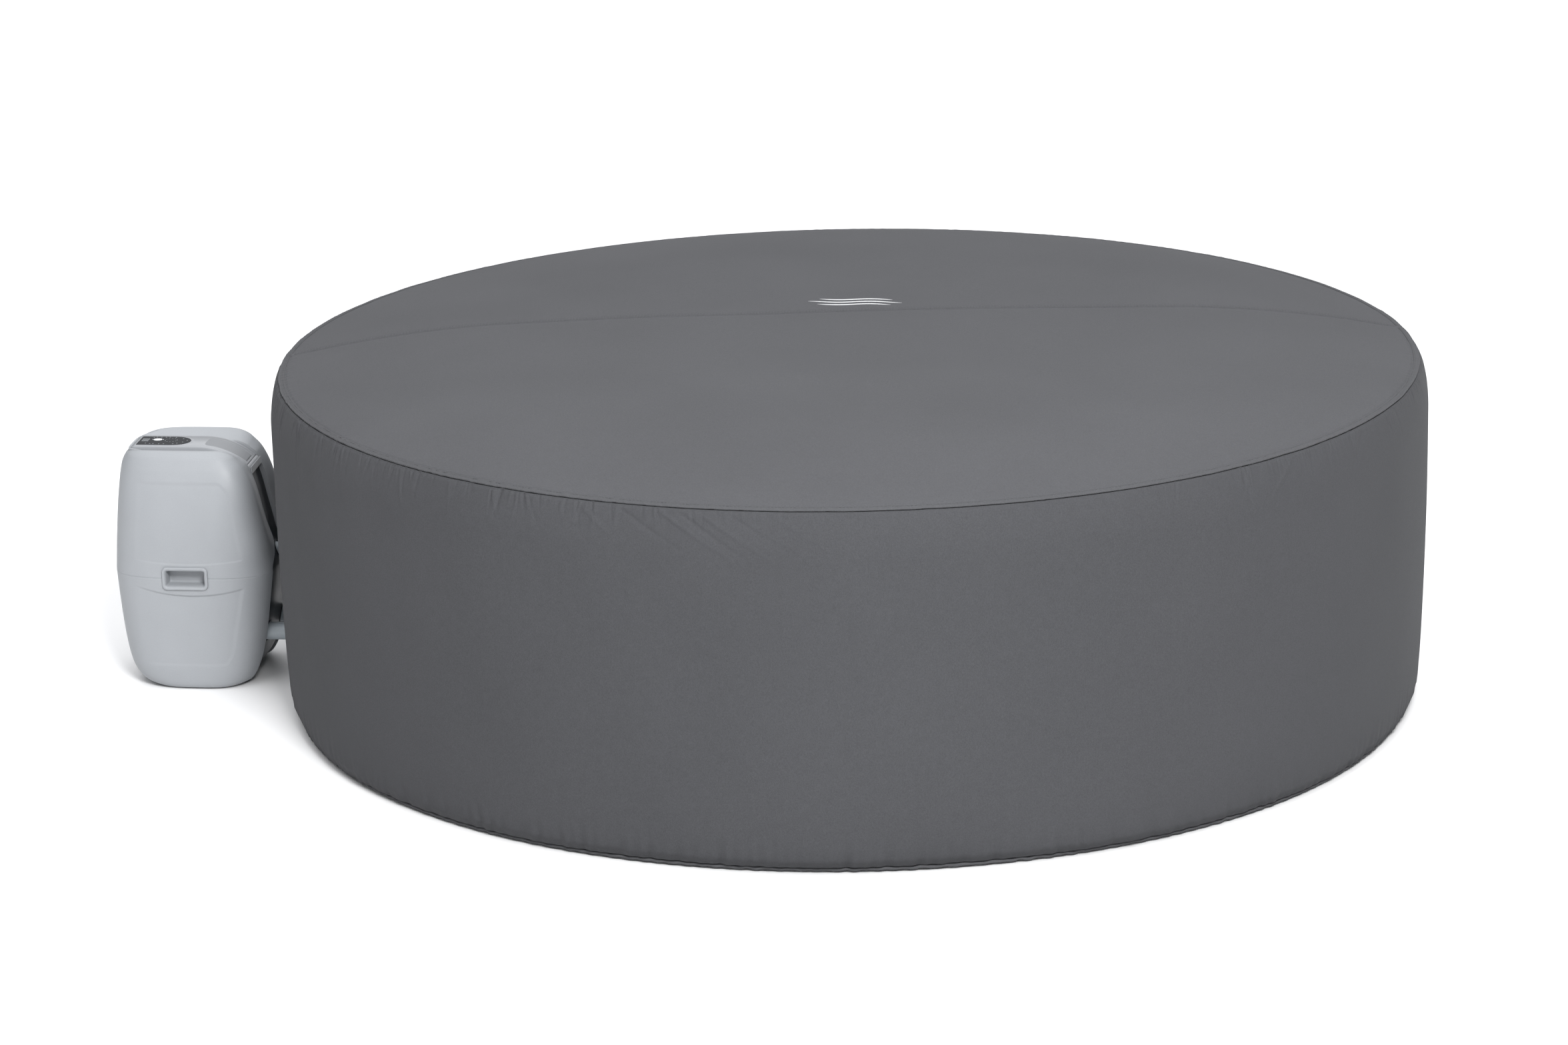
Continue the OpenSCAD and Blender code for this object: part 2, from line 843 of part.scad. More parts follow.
module impeller() {
    disc_r = 36;
    vane_h = 16;
    color("white") at_pump() translate([0, 0, motor_z]) rotate([0, 90, 0]) union() {
        translate([0, 0, -39]) cylinder(r = shaft_r, h = 39 + volute_x + 10);
        translate([0, 0, volute_x + 8]) cylinder(r = disc_r, h = 4);
        for (turn = [0 : 60 : 300])
            rotate([0, 0, turn]) translate([10, -1.5, volute_x + 12 - tiny])
                rotate([0, 0, 18]) cube([22, 3, vane_h]);
    }
}

module heater_tube() {
    color("silver") at_pump() translate([-100, -heater_y, heater_z]) rotate([0, 90, 0]) union() {
        tube(24, 21, 190);
        for (x = [0, 187])
            translate([0, 0, x]) tube(21.01, 11, 3);
        translate([22, 0, 95]) rotate([0, 90, 0]) cylinder(r = 6, h = 12);
    }
}

module flow_sensor() {
    color(INNER) at_pump() translate([106, -heater_y, heater_z]) rotate([0, 90, 0]) union() {
        tube(15, 11.5, 24);
        box([-26, -8, 4], [-14, 8, 20]);
    }
}

module blower_housing() {
    r = 58;
    w = 60;
    color(INNER) at_pump() translate([-20, w / 2, blower_z]) rotate([90, 0, 0]) difference() {
        union() {
            cylinder(r = r, h = w);
            translate([0, -r, 12]) cube([80, 32, w - 24]);
        }
        translate([0, 0, 3]) cylinder(r = r - 3, h = w - 6);
        translate([30, -r + 3, 15]) cube([60, 26, w - 30]);
        translate([0, 0, w - 10]) cylinder(r = 26, h = 20);
        translate([0, 0, -1]) cylinder(r = 3 + run_gap, h = 10);
    }
}

module blower_fan() {
    w = 60;
    color("white") at_pump() translate([-20, w / 2, blower_z]) rotate([90, 0, 0]) union() {
        translate([0, 0, -12]) cylinder(r = 3, h = 26);
        translate([0, 0, 8]) cylinder(r = 46, h = 3);
        for (turn = [0 : 20 : 340])
            rotate([0, 0, turn]) translate([34, 0, 11 - tiny]) rotate([0, 0, 30])
                cube([11, 1.5, 34]);
    }
}

module control_board() {
    color([0.1, 0.4, 0.2]) at_pump() union() {
        box([-90, 100, 292], [70, 102, 410]);
        box([-70, 88, 310], [-30, 100, 350]);
        box([-10, 92, 306], [14, 100, 330]);
        box([30, 90, 350], [56, 100, 392]);
        for (x = [-80 : 16 : 0])
            box([x, 94, 384], [x + 9, 100, 398]);
    }
}

// A hose of straight runs along the axes, with an elbow at each bend
module hose(points, r) {
    last = len(points) - 1;
    for (i = [0 : last - 1]) {
        d = points[i + 1] - points[i];
        length = norm(d);
        turn = d[0] > 0 ? [0, 90, 0] : d[0] < 0 ? [0, -90, 0]
            : d[1] > 0 ? [-90, 0, 0] : d[1] < 0 ? [90, 0, 0]
            : d[2] < 0 ? [180, 0, 0] : [0, 0, 0];
        translate(points[i]) rotate(turn) cylinder(r = r, h = length);
    }
    for (i = [1 : last - 1])
        translate(points[i]) cube(2 * r + 4, center = true);
}

module inner_hoses() {
    r = 13;
    pipe_start = reach_in(pipe_z) - 34;
    inlet_x = volute_x + volute_len + 15;
    outlet = [volute_x + 22, 26, motor_z + 67];
    color(INNER) at_pump() union() {
        hose([[inlet_x, 0, motor_z], [84, 0, motor_z], [84, 0, pipe_z + 4], [84, pipe_y, pipe_z + 4],
            [pipe_start, pipe_y, pipe_z + 4]], 12);
        hose([outlet, [outlet[0], 26, 170], [-60, 26, 170], [-60, 26, heater_z + 30],
            [-122, 26, heater_z + 30], [-122, -heater_y + 26, heater_z + 30]], r);
        hose([[pipe_start, -pipe_y, pipe_z], [100, -pipe_y, pipe_z], [100, -pipe_y, 148]], r);
    }
}

// ---------- pipes, unions and the cable's entry ----------

// A rigid pipe from inside the pump unit to its union at the tub
module union_pipe(y, z, r, collar) {
    start = spigot_end + 2;
    end = pump_x - reach_in(z) + 32;
    on_pipe(y, z) difference() {
        union() {
            translate([0, 0, start]) cylinder(r = r, h = end - start);
            translate([0, 0, start]) cylinder(r = collar, h = 3);
        }
        translate([0, 0, start - 1]) cylinder(r = r - 3, h = end - start + 2);
    }
}

module suction_pipe() {
    color(MID) union_pipe(pipe_y, pipe_z, pipe_r, port_r - 1);
}

module return_pipe() {
    color(MID) union_pipe(-pipe_y, pipe_z, pipe_r, port_r - 1);
}

module air_pipe() {
    color(MID) union_pipe(0, air_z, air_r, air_port_r - 1);
}

// A union nut: threads over the port's spigot and holds the pipe's collar
module union_nut(y, z, r_port, r_pipe, r_out) {
    start = spigot_end - 22;
    end = spigot_end + 9;
    ribs = 12;
    on_pipe(y, z) difference() {
        union() {
            translate([0, 0, start]) cylinder(r = r_out - 2, h = end - start);
            for (i = [0 : ribs - 1])
                rotate([0, 0, i * 360 / ribs]) translate([r_out - 4, -2.5, start])
                    cube([4, 5, end - start]);
        }
        translate([0, 0, start - 1]) cylinder(r = r_port + run_gap, h = spigot_end + 5.5 - start + 1);
        translate([0, 0, start - 1]) cylinder(r = r_pipe + gap, h = 60);
    }
}

module suction_nut() {
    color(DARK) union_nut(pipe_y, pipe_z, port_r, pipe_r, nut_r);
}

module return_nut() {
    color(DARK) union_nut(-pipe_y, pipe_z, port_r, pipe_r, nut_r);
}

module air_nut() {
    color(DARK) union_nut(0, air_z, air_port_r, air_r, air_nut_r);
}

module pipe_seals() {
    color([0.1, 0.1, 0.1]) {
        for (y = [-pipe_y, pipe_y])
            on_pipe(y, pipe_z) translate([0, 0, spigot_end]) tube(port_r - 1, pipe_r + 1, 2);
        on_pipe(0, air_z) translate([0, 0, spigot_end]) tube(air_port_r - 1, air_r + 1, 2);
    }
}

module cable_gland() {
    face = reach_out(gland_z) - 8;
    color(DARK) at_pump() translate([-face, 0, gland_z]) rotate([0, -90, 0]) difference() {
        union() {
            translate([0, 0, -14]) cylinder(r = 9, h = 22);
            translate([0, 0, 3]) cylinder(r = 13, h = 5, $fn = 6);
            translate([0, 0, -14]) cylinder(r = 13, h = 6, $fn = 6);
        }
        translate([0, 0, -15]) cylinder(r = 4, h = 30);
    }
}

ground_mat();
floor_panel();
wall_chamber();
wall_webs();
bubble_ring();
air_duct();
suction_port();
return_port();
air_port();
return_screen();
filter_housing();
filter_cartridge();
filter_cap();
inflation_valve();
inflation_cap();
drain_valve();
drain_cap();
cover_top_front();
cover_top_rear();
rim_piping();
cover_skirt();
hem_band();
lid_bladder();
lid_valve();
front_upper_shell();
rear_upper_shell();
front_lower_shell();
rear_lower_shell();
spine_panel();
outer_panel();
arm_tray();
hinge_bar();
control_arm();
arm_cover();
touch_glass();
hinge_pin();
front_grip();
rear_grip();
base_plate();
base_screws();
rubber_feet();
pump_motor();
pump_volute();
impeller();
heater_tube();
flow_sensor();
blower_housing();
blower_fan();
control_board();
inner_hoses();
suction_pipe();
return_pipe();
air_pipe();
suction_nut();
return_nut();
air_nut();
pipe_seals();
cable_gland();
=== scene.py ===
"""A round inflatable hot tub under its fitted fabric cover, with the pump unit beside it."""
import json
import math

import bpy
import numpy as np
from mathutils import Matrix, Vector


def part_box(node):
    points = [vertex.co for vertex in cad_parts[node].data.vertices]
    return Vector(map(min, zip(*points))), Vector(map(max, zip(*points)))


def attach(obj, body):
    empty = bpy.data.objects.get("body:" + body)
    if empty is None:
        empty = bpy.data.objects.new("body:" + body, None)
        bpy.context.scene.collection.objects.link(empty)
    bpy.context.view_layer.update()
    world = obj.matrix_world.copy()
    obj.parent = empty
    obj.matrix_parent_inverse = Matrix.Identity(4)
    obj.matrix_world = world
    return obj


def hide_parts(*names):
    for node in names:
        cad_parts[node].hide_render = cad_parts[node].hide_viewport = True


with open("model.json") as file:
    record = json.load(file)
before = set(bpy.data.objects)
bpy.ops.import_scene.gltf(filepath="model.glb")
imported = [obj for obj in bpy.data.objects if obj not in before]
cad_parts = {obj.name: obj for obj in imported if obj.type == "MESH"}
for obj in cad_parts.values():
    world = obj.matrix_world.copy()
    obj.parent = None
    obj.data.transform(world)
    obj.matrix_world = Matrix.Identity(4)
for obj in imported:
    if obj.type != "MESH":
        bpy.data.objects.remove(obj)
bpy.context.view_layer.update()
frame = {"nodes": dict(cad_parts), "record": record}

MM = 0.001


# ---------------------------------------------------------------- frame facts

def joint_place(name):
    """Where a joint turns, in the row frame."""
    for joint in frame["record"]["behaviour"]["joints"]:
        if joint["name"] == name:
            return Vector(joint["pos_m"])
    raise ValueError(name)


HINGE_X = 104.0  # of the arm's hinge from the pump unit's middle, in mm
PUMP_X = joint_place("arm_tilt").x - HINGE_X * MM
RIM_LOW, RIM_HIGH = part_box("rim_piping")
RIM_R = RIM_HIGH[0] - 6.2 * MM
RIM_Z = RIM_LOW[2] + 6 * MM
CROWN_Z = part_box("cover_top_front")[1][2]
SKIRT_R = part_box("cover_skirt")[1][1]
SEAM_POINT = np.array([-10 * MM, 91 * MM])
SEAM_TURN = math.radians(8)
CLOTH = 2.2 * MM  # the cover cloth's thickness with its lining


# ---------------------------------------------------------------- camera and light

def add_camera():
    """The camera stands in front, a little to the right of the tub's middle."""
    turn = math.radians(6)
    distance, height = 9.254, 3.044
    yaw, pitch, roll = -0.0151, 0.2834, -0.0206
    spin = Matrix.Rotation(turn, 3, "Z")
    place = spin @ Vector((0, -distance, height))
    level = math.cos(pitch)
    ahead = spin @ Vector((math.sin(yaw) * level, math.cos(yaw) * level, -math.sin(pitch)))
    right = spin @ Vector((math.cos(yaw), -math.sin(yaw), 0))
    up = right.cross(ahead)
    rolled_right = right * math.cos(roll) + up * math.sin(roll)
    rolled_up = up * math.cos(roll) - right * math.sin(roll)
    axes = Matrix((rolled_right, rolled_up, -ahead)).transposed()
    data = bpy.data.cameras.new("camera")
    data.sensor_width = 36
    data.lens = 105.14
    data.clip_end = 100
    camera = bpy.data.objects.new("camera", data)
    camera.matrix_world = Matrix.Translation(place) @ axes.to_4x4()
    bpy.context.scene.collection.objects.link(camera)
    bpy.context.scene.camera = camera


def add_key_light():
    """One large soft light, high in front and a little to the right."""
    place, target = Vector((2.2, -7.0, 6.0)), Vector((0, 0, 0.4))
    data = bpy.data.lights.new("key", "AREA")
    data.shape = "RECTANGLE"
    data.size = data.size_y = 2.4
    data.energy = 780
    light = bpy.data.objects.new("key", data)
    light.location = place
    light.rotation_euler = (target - place).to_track_quat("-Z", "Y").to_euler()
    bpy.context.scene.collection.objects.link(light)


def light_studio():
    """A pale room that is bright overhead and flagged off at the left and right."""
    scene = bpy.context.scene
    scene.view_settings.view_transform = "Standard"
    scene.view_settings.look = "None"
    scene.world = bpy.data.worlds.new("studio")
    room = Shading(scene.world)
    split = room.add("SeparateXYZ", Vector=room.nodes.new("ShaderNodeTexCoord").outputs["Generated"])
    overhead = room.vary(split.outputs["Z"], 0.12, 2.5, 0, 1)
    flagged = room.vary(room.maths("ABSOLUTE", split.outputs["X"]), 1.0, 0.08, 0.15, 0.9)
    backdrop = room.nodes["Background"]
    room.feed(backdrop.inputs["Color"], (0.98, 0.985, 1.0, 1))
    room.feed(backdrop.inputs["Strength"], room.product(overhead, flagged))
    add_key_light()


def add_floor():
    mesh = bpy.data.meshes.new("floor")
    half = 30
    corners = [(-half, -half, 0), (half, -half, 0), (half, half, 0), (-half, half, 0)]
    mesh.from_pydata(corners, [], [(0, 1, 2, 3)])
    mesh.materials.append(Look("floor", (0.87, 0.87, 0.872), 0.75).material)
    floor = bpy.data.objects.new("floor", mesh)
    bpy.context.scene.collection.objects.link(floor)


# ---------------------------------------------------------------- materials

class Shading:
    """A node tree under construction, with short ways to add to it."""

    def __init__(self, owner):
        owner.use_nodes = True
        self.nodes, self.links = owner.node_tree.nodes, owner.node_tree.links

    def feed(self, socket, value):
        """Sets a socket to a value, or links another node's output to it."""
        if isinstance(value, bpy.types.NodeSocket):
            self.links.new(value, socket)
        else:
            socket.default_value = value

    def add(self, kind, **inputs):
        """Adds a node. Each input is named as its socket, with _ for a space."""
        node = self.nodes.new("ShaderNode" + kind)
        for name, value in inputs.items():
            self.feed(node.inputs[name.replace("_", " ")], value)
        return node

    def maths(self, operation, *values):
        node = self.nodes.new("ShaderNodeMath")
        node.operation = operation
        for socket, value in zip(node.inputs, values):
            self.feed(socket, value)
        return node.outputs[0]

    def product(self, first, *others):
        for other in others:
            first = self.maths("MULTIPLY", first, other)
        return first

    def vary(self, value, out_low, out_high, low=0.3, high=0.7):
        """Maps low..high, by default the usual spread of a noise, to out_low..out_high."""
        node = self.add("MapRange", Value=value, From_Min=low, From_Max=high,
                        To_Min=out_low, To_Max=out_high)
        return node.outputs["Result"]


class Look(Shading):
    """A material under construction: a principled surface varied by nodes."""

    def __init__(self, name, color, roughness, metallic=0.0, **sockets):
        self.material = bpy.data.materials.new(name)
        super().__init__(self.material)
        self.color = color
        self.shader = self.nodes["Principled BSDF"]
        sockets.update(Base_Color=(*color, 1), Roughness=roughness, Metallic=metallic)
        for socket, value in sockets.items():
            self.feed(self.shader.inputs[socket.replace("_", " ")], value)
        self.place = self.nodes.new("ShaderNodeTexCoord").outputs["Object"]

    def noise(self, scale, detail, roughness, vector=None):
        node = self.add("TexNoise", Scale=scale, Detail=detail, Roughness=roughness,
                        Vector=vector or self.place)
        return node.outputs["Fac"]

    def tint(self, *factors):
        """Multiplies the base colour by varying factors near 1."""
        factor = self.product(*factors)
        mix = self.nodes.new("ShaderNodeMix")
        mix.data_type = "RGBA"
        mix.blend_type = "MULTIPLY"
        mix.inputs["Factor"].default_value = 1.0
        mix.inputs["A"].default_value = (*self.color, 1)
        grey = self.add("CombineColor", Red=factor, Green=factor, Blue=factor)
        self.feed(mix.inputs["B"], grey.outputs[0])
        self.feed(self.shader.inputs["Base Color"], mix.outputs["Result"])

    def polish(self, roughness):
        self.feed(self.shader.inputs["Roughness"], roughness)

    def bump(self, height, distance, strength):
        node = self.add("Bump", Distance=distance, Strength=strength, Height=height)
        self.feed(self.shader.inputs["Normal"], node.outputs["Normal"])


def cloth(name, color, round_wall=False, weave=1.9 * MM):
    """Plain-woven polyester: crossed threads, a heathered tone and soft broad shading."""
    look = Look(name, color, 0.92, Specular_IOR_Level=0.14, Sheen_Weight=0.03, Sheen_Roughness=0.45)
    split = look.add("SeparateXYZ", Vector=look.place)
    across, along = split.outputs["X"], split.outputs["Y"]
    if round_wall:
        across = look.product(look.maths("ARCTAN2", along, across), SKIRT_R)
        along = split.outputs["Z"]
    threads = [look.maths("SINE", look.product(place, 2 * math.pi / weave)) for place in (across, along)]
    weave_height = look.product(*threads)
    speckle = look.noise(420, 2.0, 0.7)
    slub = look.noise(60, 4.0, 0.6)
    cloud = look.noise(2.6, 2.0, 0.5)
    look.tint(look.vary(speckle, 0.86, 1.14, 0.25, 0.75), look.vary(slub, 0.965, 1.035),
              look.vary(cloud, 0.965, 1.035), look.vary(weave_height, 0.95, 1.05, -1, 1))
    look.polish(look.vary(slub, 0.86, 0.96))
    look.bump(look.maths("ADD", weave_height, look.product(speckle, 2.0)), 0.12 * MM, 0.7)
    return look.material


def plastic(name, color, roughness, grain=0.05, coat=0.0):
    """Moulded plastic: fine spark-eroded grain in mm, with soft variation in tone and polish."""
    look = Look(name, color, roughness, Coat_Weight=coat, Coat_Roughness=0.12, Specular_IOR_Level=0.36)
    fine = look.noise(700, 2.0, 0.6)
    broad = look.noise(9, 3.0, 0.5)
    look.tint(look.vary(fine, 0.97, 1.03), look.vary(broad, 0.975, 1.025))
    look.polish(look.vary(broad, roughness - 0.05, roughness + 0.05))
    look.bump(fine, grain * MM, 0.6)
    return look.material


def vinyl(name, color):
    """Laminated vinyl: leathery emboss with a soft shine."""
    look = Look(name, color, 0.38, Subsurface_Weight=0.05, Subsurface_Radius=(0.004, 0.004, 0.004))
    cells = look.add("TexVoronoi", Vector=look.place)
    cells.feature = "DISTANCE_TO_EDGE"
    cells.inputs["Scale"].default_value = 260
    broad = look.noise(5, 3.0, 0.5)
    look.tint(look.vary(broad, 0.96, 1.03))
    look.polish(look.vary(broad, 0.33, 0.45))
    look.bump(look.vary(cells.outputs["Distance"], 0, 1, 0, 0.25), 0.15 * MM, 0.5)
    return look.material


def foam(name, color):
    look = Look(name, color, 0.9)
    pores = look.noise(300, 2.0, 0.6)
    look.tint(look.vary(pores, 0.85, 1.12))
    look.bump(pores, 0.4 * MM, 0.8)
    return look.material


def steel(name, color):
    look = Look(name, color, 0.3, metallic=1.0)
    stretch = look.add("Mapping", Vector=look.place, Scale=(1, 40, 40))
    brush = look.noise(40, 4.0, 0.7, stretch.outputs[0])
    look.tint(look.vary(brush, 0.9, 1.06))
    look.polish(look.vary(brush, 0.22, 0.42))
    return look.material


def glass_panel(name, color):
    """Black printed glass, with faint smears that only the gloss shows."""
    look = Look(name, color, 0.2, Specular_IOR_Level=0.06)
    smear = look.noise(45, 4.0, 0.65)
    look.polish(look.vary(smear, 0.12, 0.26))
    look.tint(look.vary(smear, 0.85, 1.2))
    return look.material


PLASTICS = {  # colour, roughness, depth of the grain in mm, clear coat
    "thread": ((0.055, 0.056, 0.06), 0.7, 0.02),
    "shell": ((0.30, 0.313, 0.33), 0.5),
    "arm": ((0.29, 0.30, 0.315), 0.40),
    "mid": ((0.20, 0.208, 0.22), 0.46),
    "charcoal": ((0.022, 0.026, 0.031), 0.38),
    "print": ((0.16, 0.17, 0.18), 0.4, 0.0),
    "print_bright": ((0.8, 0.82, 0.84), 0.35, 0.0),
    "mark": ((0.72, 0.73, 0.74), 0.6, 0.02),
    "pipe": ((0.36, 0.40, 0.43), 0.30, 0.01, 0.2),
    "port": ((0.33, 0.35, 0.37), 0.42),
    "nut": ((0.05, 0.055, 0.06), 0.45),
    "nylon": ((0.78, 0.78, 0.77), 0.4),
    "paint": ((0.10, 0.12, 0.14), 0.5, 0.12),
    "inner": ((0.09, 0.10, 0.115), 0.5),
    "board": ((0.02, 0.15, 0.06), 0.35, 0.0),
}


def make_materials():
    looks = {name: plastic(name, *facts) for name, facts in PLASTICS.items()}
    looks["top_cloth"] = cloth("top_cloth", (0.0775, 0.0785, 0.084))
    # The skirt's cloth is the top's cloth in a darker colour: painted shade for its upright sides, which get
    # less light than the top.
    looks["side_cloth_painted_shade"] = cloth("side_cloth_painted_shade", (0.060, 0.061, 0.0655), round_wall=True)
    looks["trim_cloth"] = cloth("trim_cloth", (0.078, 0.079, 0.084), round_wall=True)
    looks["felt"] = cloth("felt", (0.78, 0.80, 0.83), weave=1.2 * MM)
    looks["vinyl"] = vinyl("vinyl", (0.74, 0.77, 0.80))
    looks["foam"] = foam("foam", (0.10, 0.105, 0.11))
    looks["rubber"] = foam("rubber", (0.025, 0.025, 0.027))
    looks["steel"] = steel("steel", (0.62, 0.62, 0.63))
    looks["glass"] = glass_panel("glass", (0.009, 0.011, 0.014))
    return looks


NODE_LOOKS = {
    "foam": ["ground_mat"],
    "vinyl": ["floor_panel", "wall_chamber", "wall_webs", "bubble_ring", "air_duct", "filter_housing",
              "lid_bladder"],
    "port": ["suction_port", "return_port", "air_port", "return_screen", "filter_cap", "inflation_valve",
             "drain_valve", "lid_valve"],
    "nut": ["inflation_cap", "drain_cap", "suction_nut", "return_nut", "air_nut"],
    "felt": ["filter_cartridge"],
    "shell": ["front_upper_shell", "rear_upper_shell", "front_lower_shell", "rear_lower_shell", "front_grip",
              "rear_grip"],
    "arm": ["control_arm", "hinge_bar"],
    "mid": ["outer_panel", "arm_cover"],
    "charcoal": ["spine_panel", "arm_tray", "base_plate", "cable_gland"],
    "glass": ["touch_glass"],
    "steel": ["hinge_pin", "base_screws", "heater_tube"],
    "rubber": ["rubber_feet", "pipe_seals", "inner_hoses"],
    "paint": ["pump_motor"],
    "inner": ["pump_volute", "flow_sensor", "blower_housing"],
    "nylon": ["impeller", "blower_fan"],
    "board": ["control_board"],
    "pipe": ["suction_pipe", "return_pipe", "air_pipe"],
    "top_cloth": ["cover_top_front", "cover_top_rear"],
    "side_cloth_painted_shade": ["cover_skirt"],
    "trim_cloth": ["rim_piping", "hem_band"],
}


def dress_nodes(looks):
    for look, names in NODE_LOOKS.items():
        for name in names:
            node = frame["nodes"][name]
            for slot in node.material_slots:
                slot.material = looks[look]


# ---------------------------------------------------------------- mesh helpers

def piece_from(name, points, faces, look, body, replaced=(), smooth=True):
    """A mesh piece with its material, the body it rides on, and what it stands for."""
    mesh = bpy.data.meshes.new(name)
    mesh.from_pydata(np.asarray(points).tolist(), [], [[int(i) for i in face] for face in faces])
    mesh.validate()
    mesh.polygons.foreach_set("use_smooth", [smooth] * len(mesh.polygons))
    mesh.materials.append(look)
    piece = bpy.data.objects.new(name, mesh)
    bpy.context.scene.collection.objects.link(piece)
    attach(piece, body)
    if replaced:
        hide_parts(*replaced)
    return piece


def grid_faces(rows, cols, wrap=False):
    i, j = np.meshgrid(np.arange(rows - 1), np.arange(cols if wrap else cols - 1), indexing="ij")
    a = i * cols + j
    b = i * cols + (j + 1) % cols
    return np.stack([a, b, b + cols, a + cols], -1).reshape(-1, 4)


def polar(radius, turn, z):
    """Points at a radius, turn and height round the tub's axis."""
    return np.stack(np.broadcast_arrays(radius * np.cos(turn), radius * np.sin(turn), z), -1)


def last_corners(rows, cols):
    """The corner numbers of a grid's last row, as one face."""
    return list(range((rows - 1) * cols, rows * cols))


def weld(piece, distance):
    piece.modifiers.new("weld", "WELD").merge_threshold = distance


def thicken(piece, thickness, offset=-1.0):
    solid = piece.modifiers.new("thickness", "SOLIDIFY")
    solid.thickness = thickness
    solid.offset = offset
    solid.use_even_offset = False


def join_meshes(parts):
    """Stacks (points, faces) pairs into one pair."""
    points, faces, base = [], [], 0
    for p, f in parts:
        points.append(np.asarray(p, float))
        faces.extend([[int(i) + base for i in face] for face in f])
        base += len(p)
    return np.concatenate(points), faces


def sweep_tube(path, radius, sides=8, closed=False, squash=1.0):
    """A round tube along a path of points, as (points, faces)."""
    path = np.asarray(path, float)
    ahead = np.roll(path, -1, 0) - np.roll(path, 1, 0)
    if not closed:
        ahead[0] = path[1] - path[0]
        ahead[-1] = path[-1] - path[-2]
    ahead /= np.linalg.norm(ahead, axis=1)[:, None] + 1e-12
    up = np.array([0.0, 0.0, 1.0])
    side = np.cross(ahead, up)
    thin = np.linalg.norm(side, axis=1) < 1e-3
    side[thin] = np.cross(ahead[thin], [0.0, 1.0, 0.0])
    side /= np.linalg.norm(side, axis=1)[:, None]
    rise = np.cross(side, ahead)
    turn = np.arange(sides) * 2 * math.pi / sides
    turn = turn[None, :, None]
    ring = np.cos(turn) * side[:, None] + squash * np.sin(turn) * rise[:, None]
    points = (path[:, None] + radius * ring).reshape(-1, 3)
    count = len(path)
    faces = []
    for i in range(count if closed else count - 1):
        a, b = i * sides, (i + 1) % count * sides
        faces += [[a + k, b + k, b + (k + 1) % sides, a + (k + 1) % sides] for k in range(sides)]
    if not closed:
        faces.append(list(range(sides)))
        faces.append([(count - 1) * sides + k for k in reversed(range(sides))])
    return points, faces


def grid_piece(name, grid, look, body, replaced=(), wrap=False, flip=False, thickness=None):
    """A piece from rows of points, closed round if wrapped, turned over if flipped, and thickened."""
    faces = grid_faces(len(grid), grid.shape[1], wrap)
    if flip:
        faces = faces[:, ::-1]
    piece = piece_from(name, grid.reshape(-1, 3), faces, look, body, replaced)
    if thickness:
        thicken(piece, thickness)
    return piece


def joined_piece(name, parts, look, body, smooth=True):
    points, faces = join_meshes(parts)
    return piece_from(name, points, faces, look, body, smooth=smooth)


def step(x):
    """Smooth step from 0 to 1."""
    x = np.clip(x, 0, 1)
    return x * x * (3 - 2 * x)


def rounding(x, xs, ys):
    """Monotone cubic through the points (xs, ys), evaluated at x."""
    xs, ys, x = np.asarray(xs, float), np.asarray(ys, float), np.asarray(x, float)
    run = np.diff(xs)
    slope = np.diff(ys) / run
    lean = np.zeros_like(ys)
    for k in range(1, len(xs) - 1):
        if slope[k - 1] * slope[k] > 0:
            w1, w2 = 2 * run[k] + run[k - 1], run[k] + 2 * run[k - 1]
            lean[k] = (w1 + w2) / (w1 / slope[k - 1] + w2 / slope[k])
    lean[0], lean[-1] = slope[0], slope[-1]
    k = np.clip(np.searchsorted(xs, x) - 1, 0, len(run) - 1)
    t = (x - xs[k]) / run[k]
    return ((1 + 2 * t) * (1 - t) ** 2 * ys[k] + t * (1 - t) ** 2 * run[k] * lean[k]
            + t * t * (3 - 2 * t) * ys[k + 1] + t * t * (t - 1) * run[k] * lean[k + 1])


def wander(turn, seed, low, high, count=10):
    """A smooth periodic wobble round the tub, about -1 to 1, of waves low..high per turn."""
    rng = np.random.default_rng(seed)
    waves = rng.integers(low, high + 1, count)
    phases = rng.uniform(0, 2 * math.pi, count)
    total = sum(np.cos(w * turn + p) for w, p in zip(waves, phases))
    return total / math.sqrt(count / 2) / 1.6


def around(turn, centre):
    """Signed angle from centre, in radians, between -pi and pi."""
    return (turn - centre + math.pi) % (2 * math.pi) - math.pi


# ---------------------------------------------------------------- fabric cover

GATHER_PEAK = math.radians(205)
DRAG_PEAK = math.radians(252)


def gather_strength(turn):
    """Where the skirt is gathered hardest onto the rim seam: strongest at the left."""
    left = 1.15 * np.exp(-(around(turn, GATHER_PEAK) / 0.62) ** 2)
    front = 0.55 * np.exp(-(around(turn, DRAG_PEAK) / 0.35) ** 2)
    right = 0.5 * np.exp(-(around(turn, math.radians(330)) / 0.5) ** 2)
    back = 0.5 * np.exp(-(around(turn, math.radians(80)) / 0.8) ** 2)
    return np.clip(0.22 + left + front + right + back, 0, 1.3)


def crown_height(r):
    return RIM_Z + (CROWN_Z - RIM_Z) * (1 - (r / RIM_R) ** 4.3)


def cloth_height(x, y):
    """Height of the top cloth over the plan: crowned, with slack hollows, and level at the rim."""
    r = np.hypot(x, y)
    inside = RIM_R - r
    soft = 1.4 * MM * np.sin(7 * x + 1.1) * np.sin(6 * y + 0.4)
    soft = soft + 0.9 * MM * np.sin(13 * x + 9 * y) * np.sin(5 * y - 3 * x)
    return crown_height(np.minimum(r, RIM_R)) + soft * step(inside / 0.12) - 1.5 * MM * step(inside / 0.1)


KINKS = {202: 2.2, 232: 2.6, 238: -2.0, 251: -1.4, 283: -2.6, 286: 1.8, 311: 1.5,
         20: 2.0, 75: -2.0, 140: 1.8}


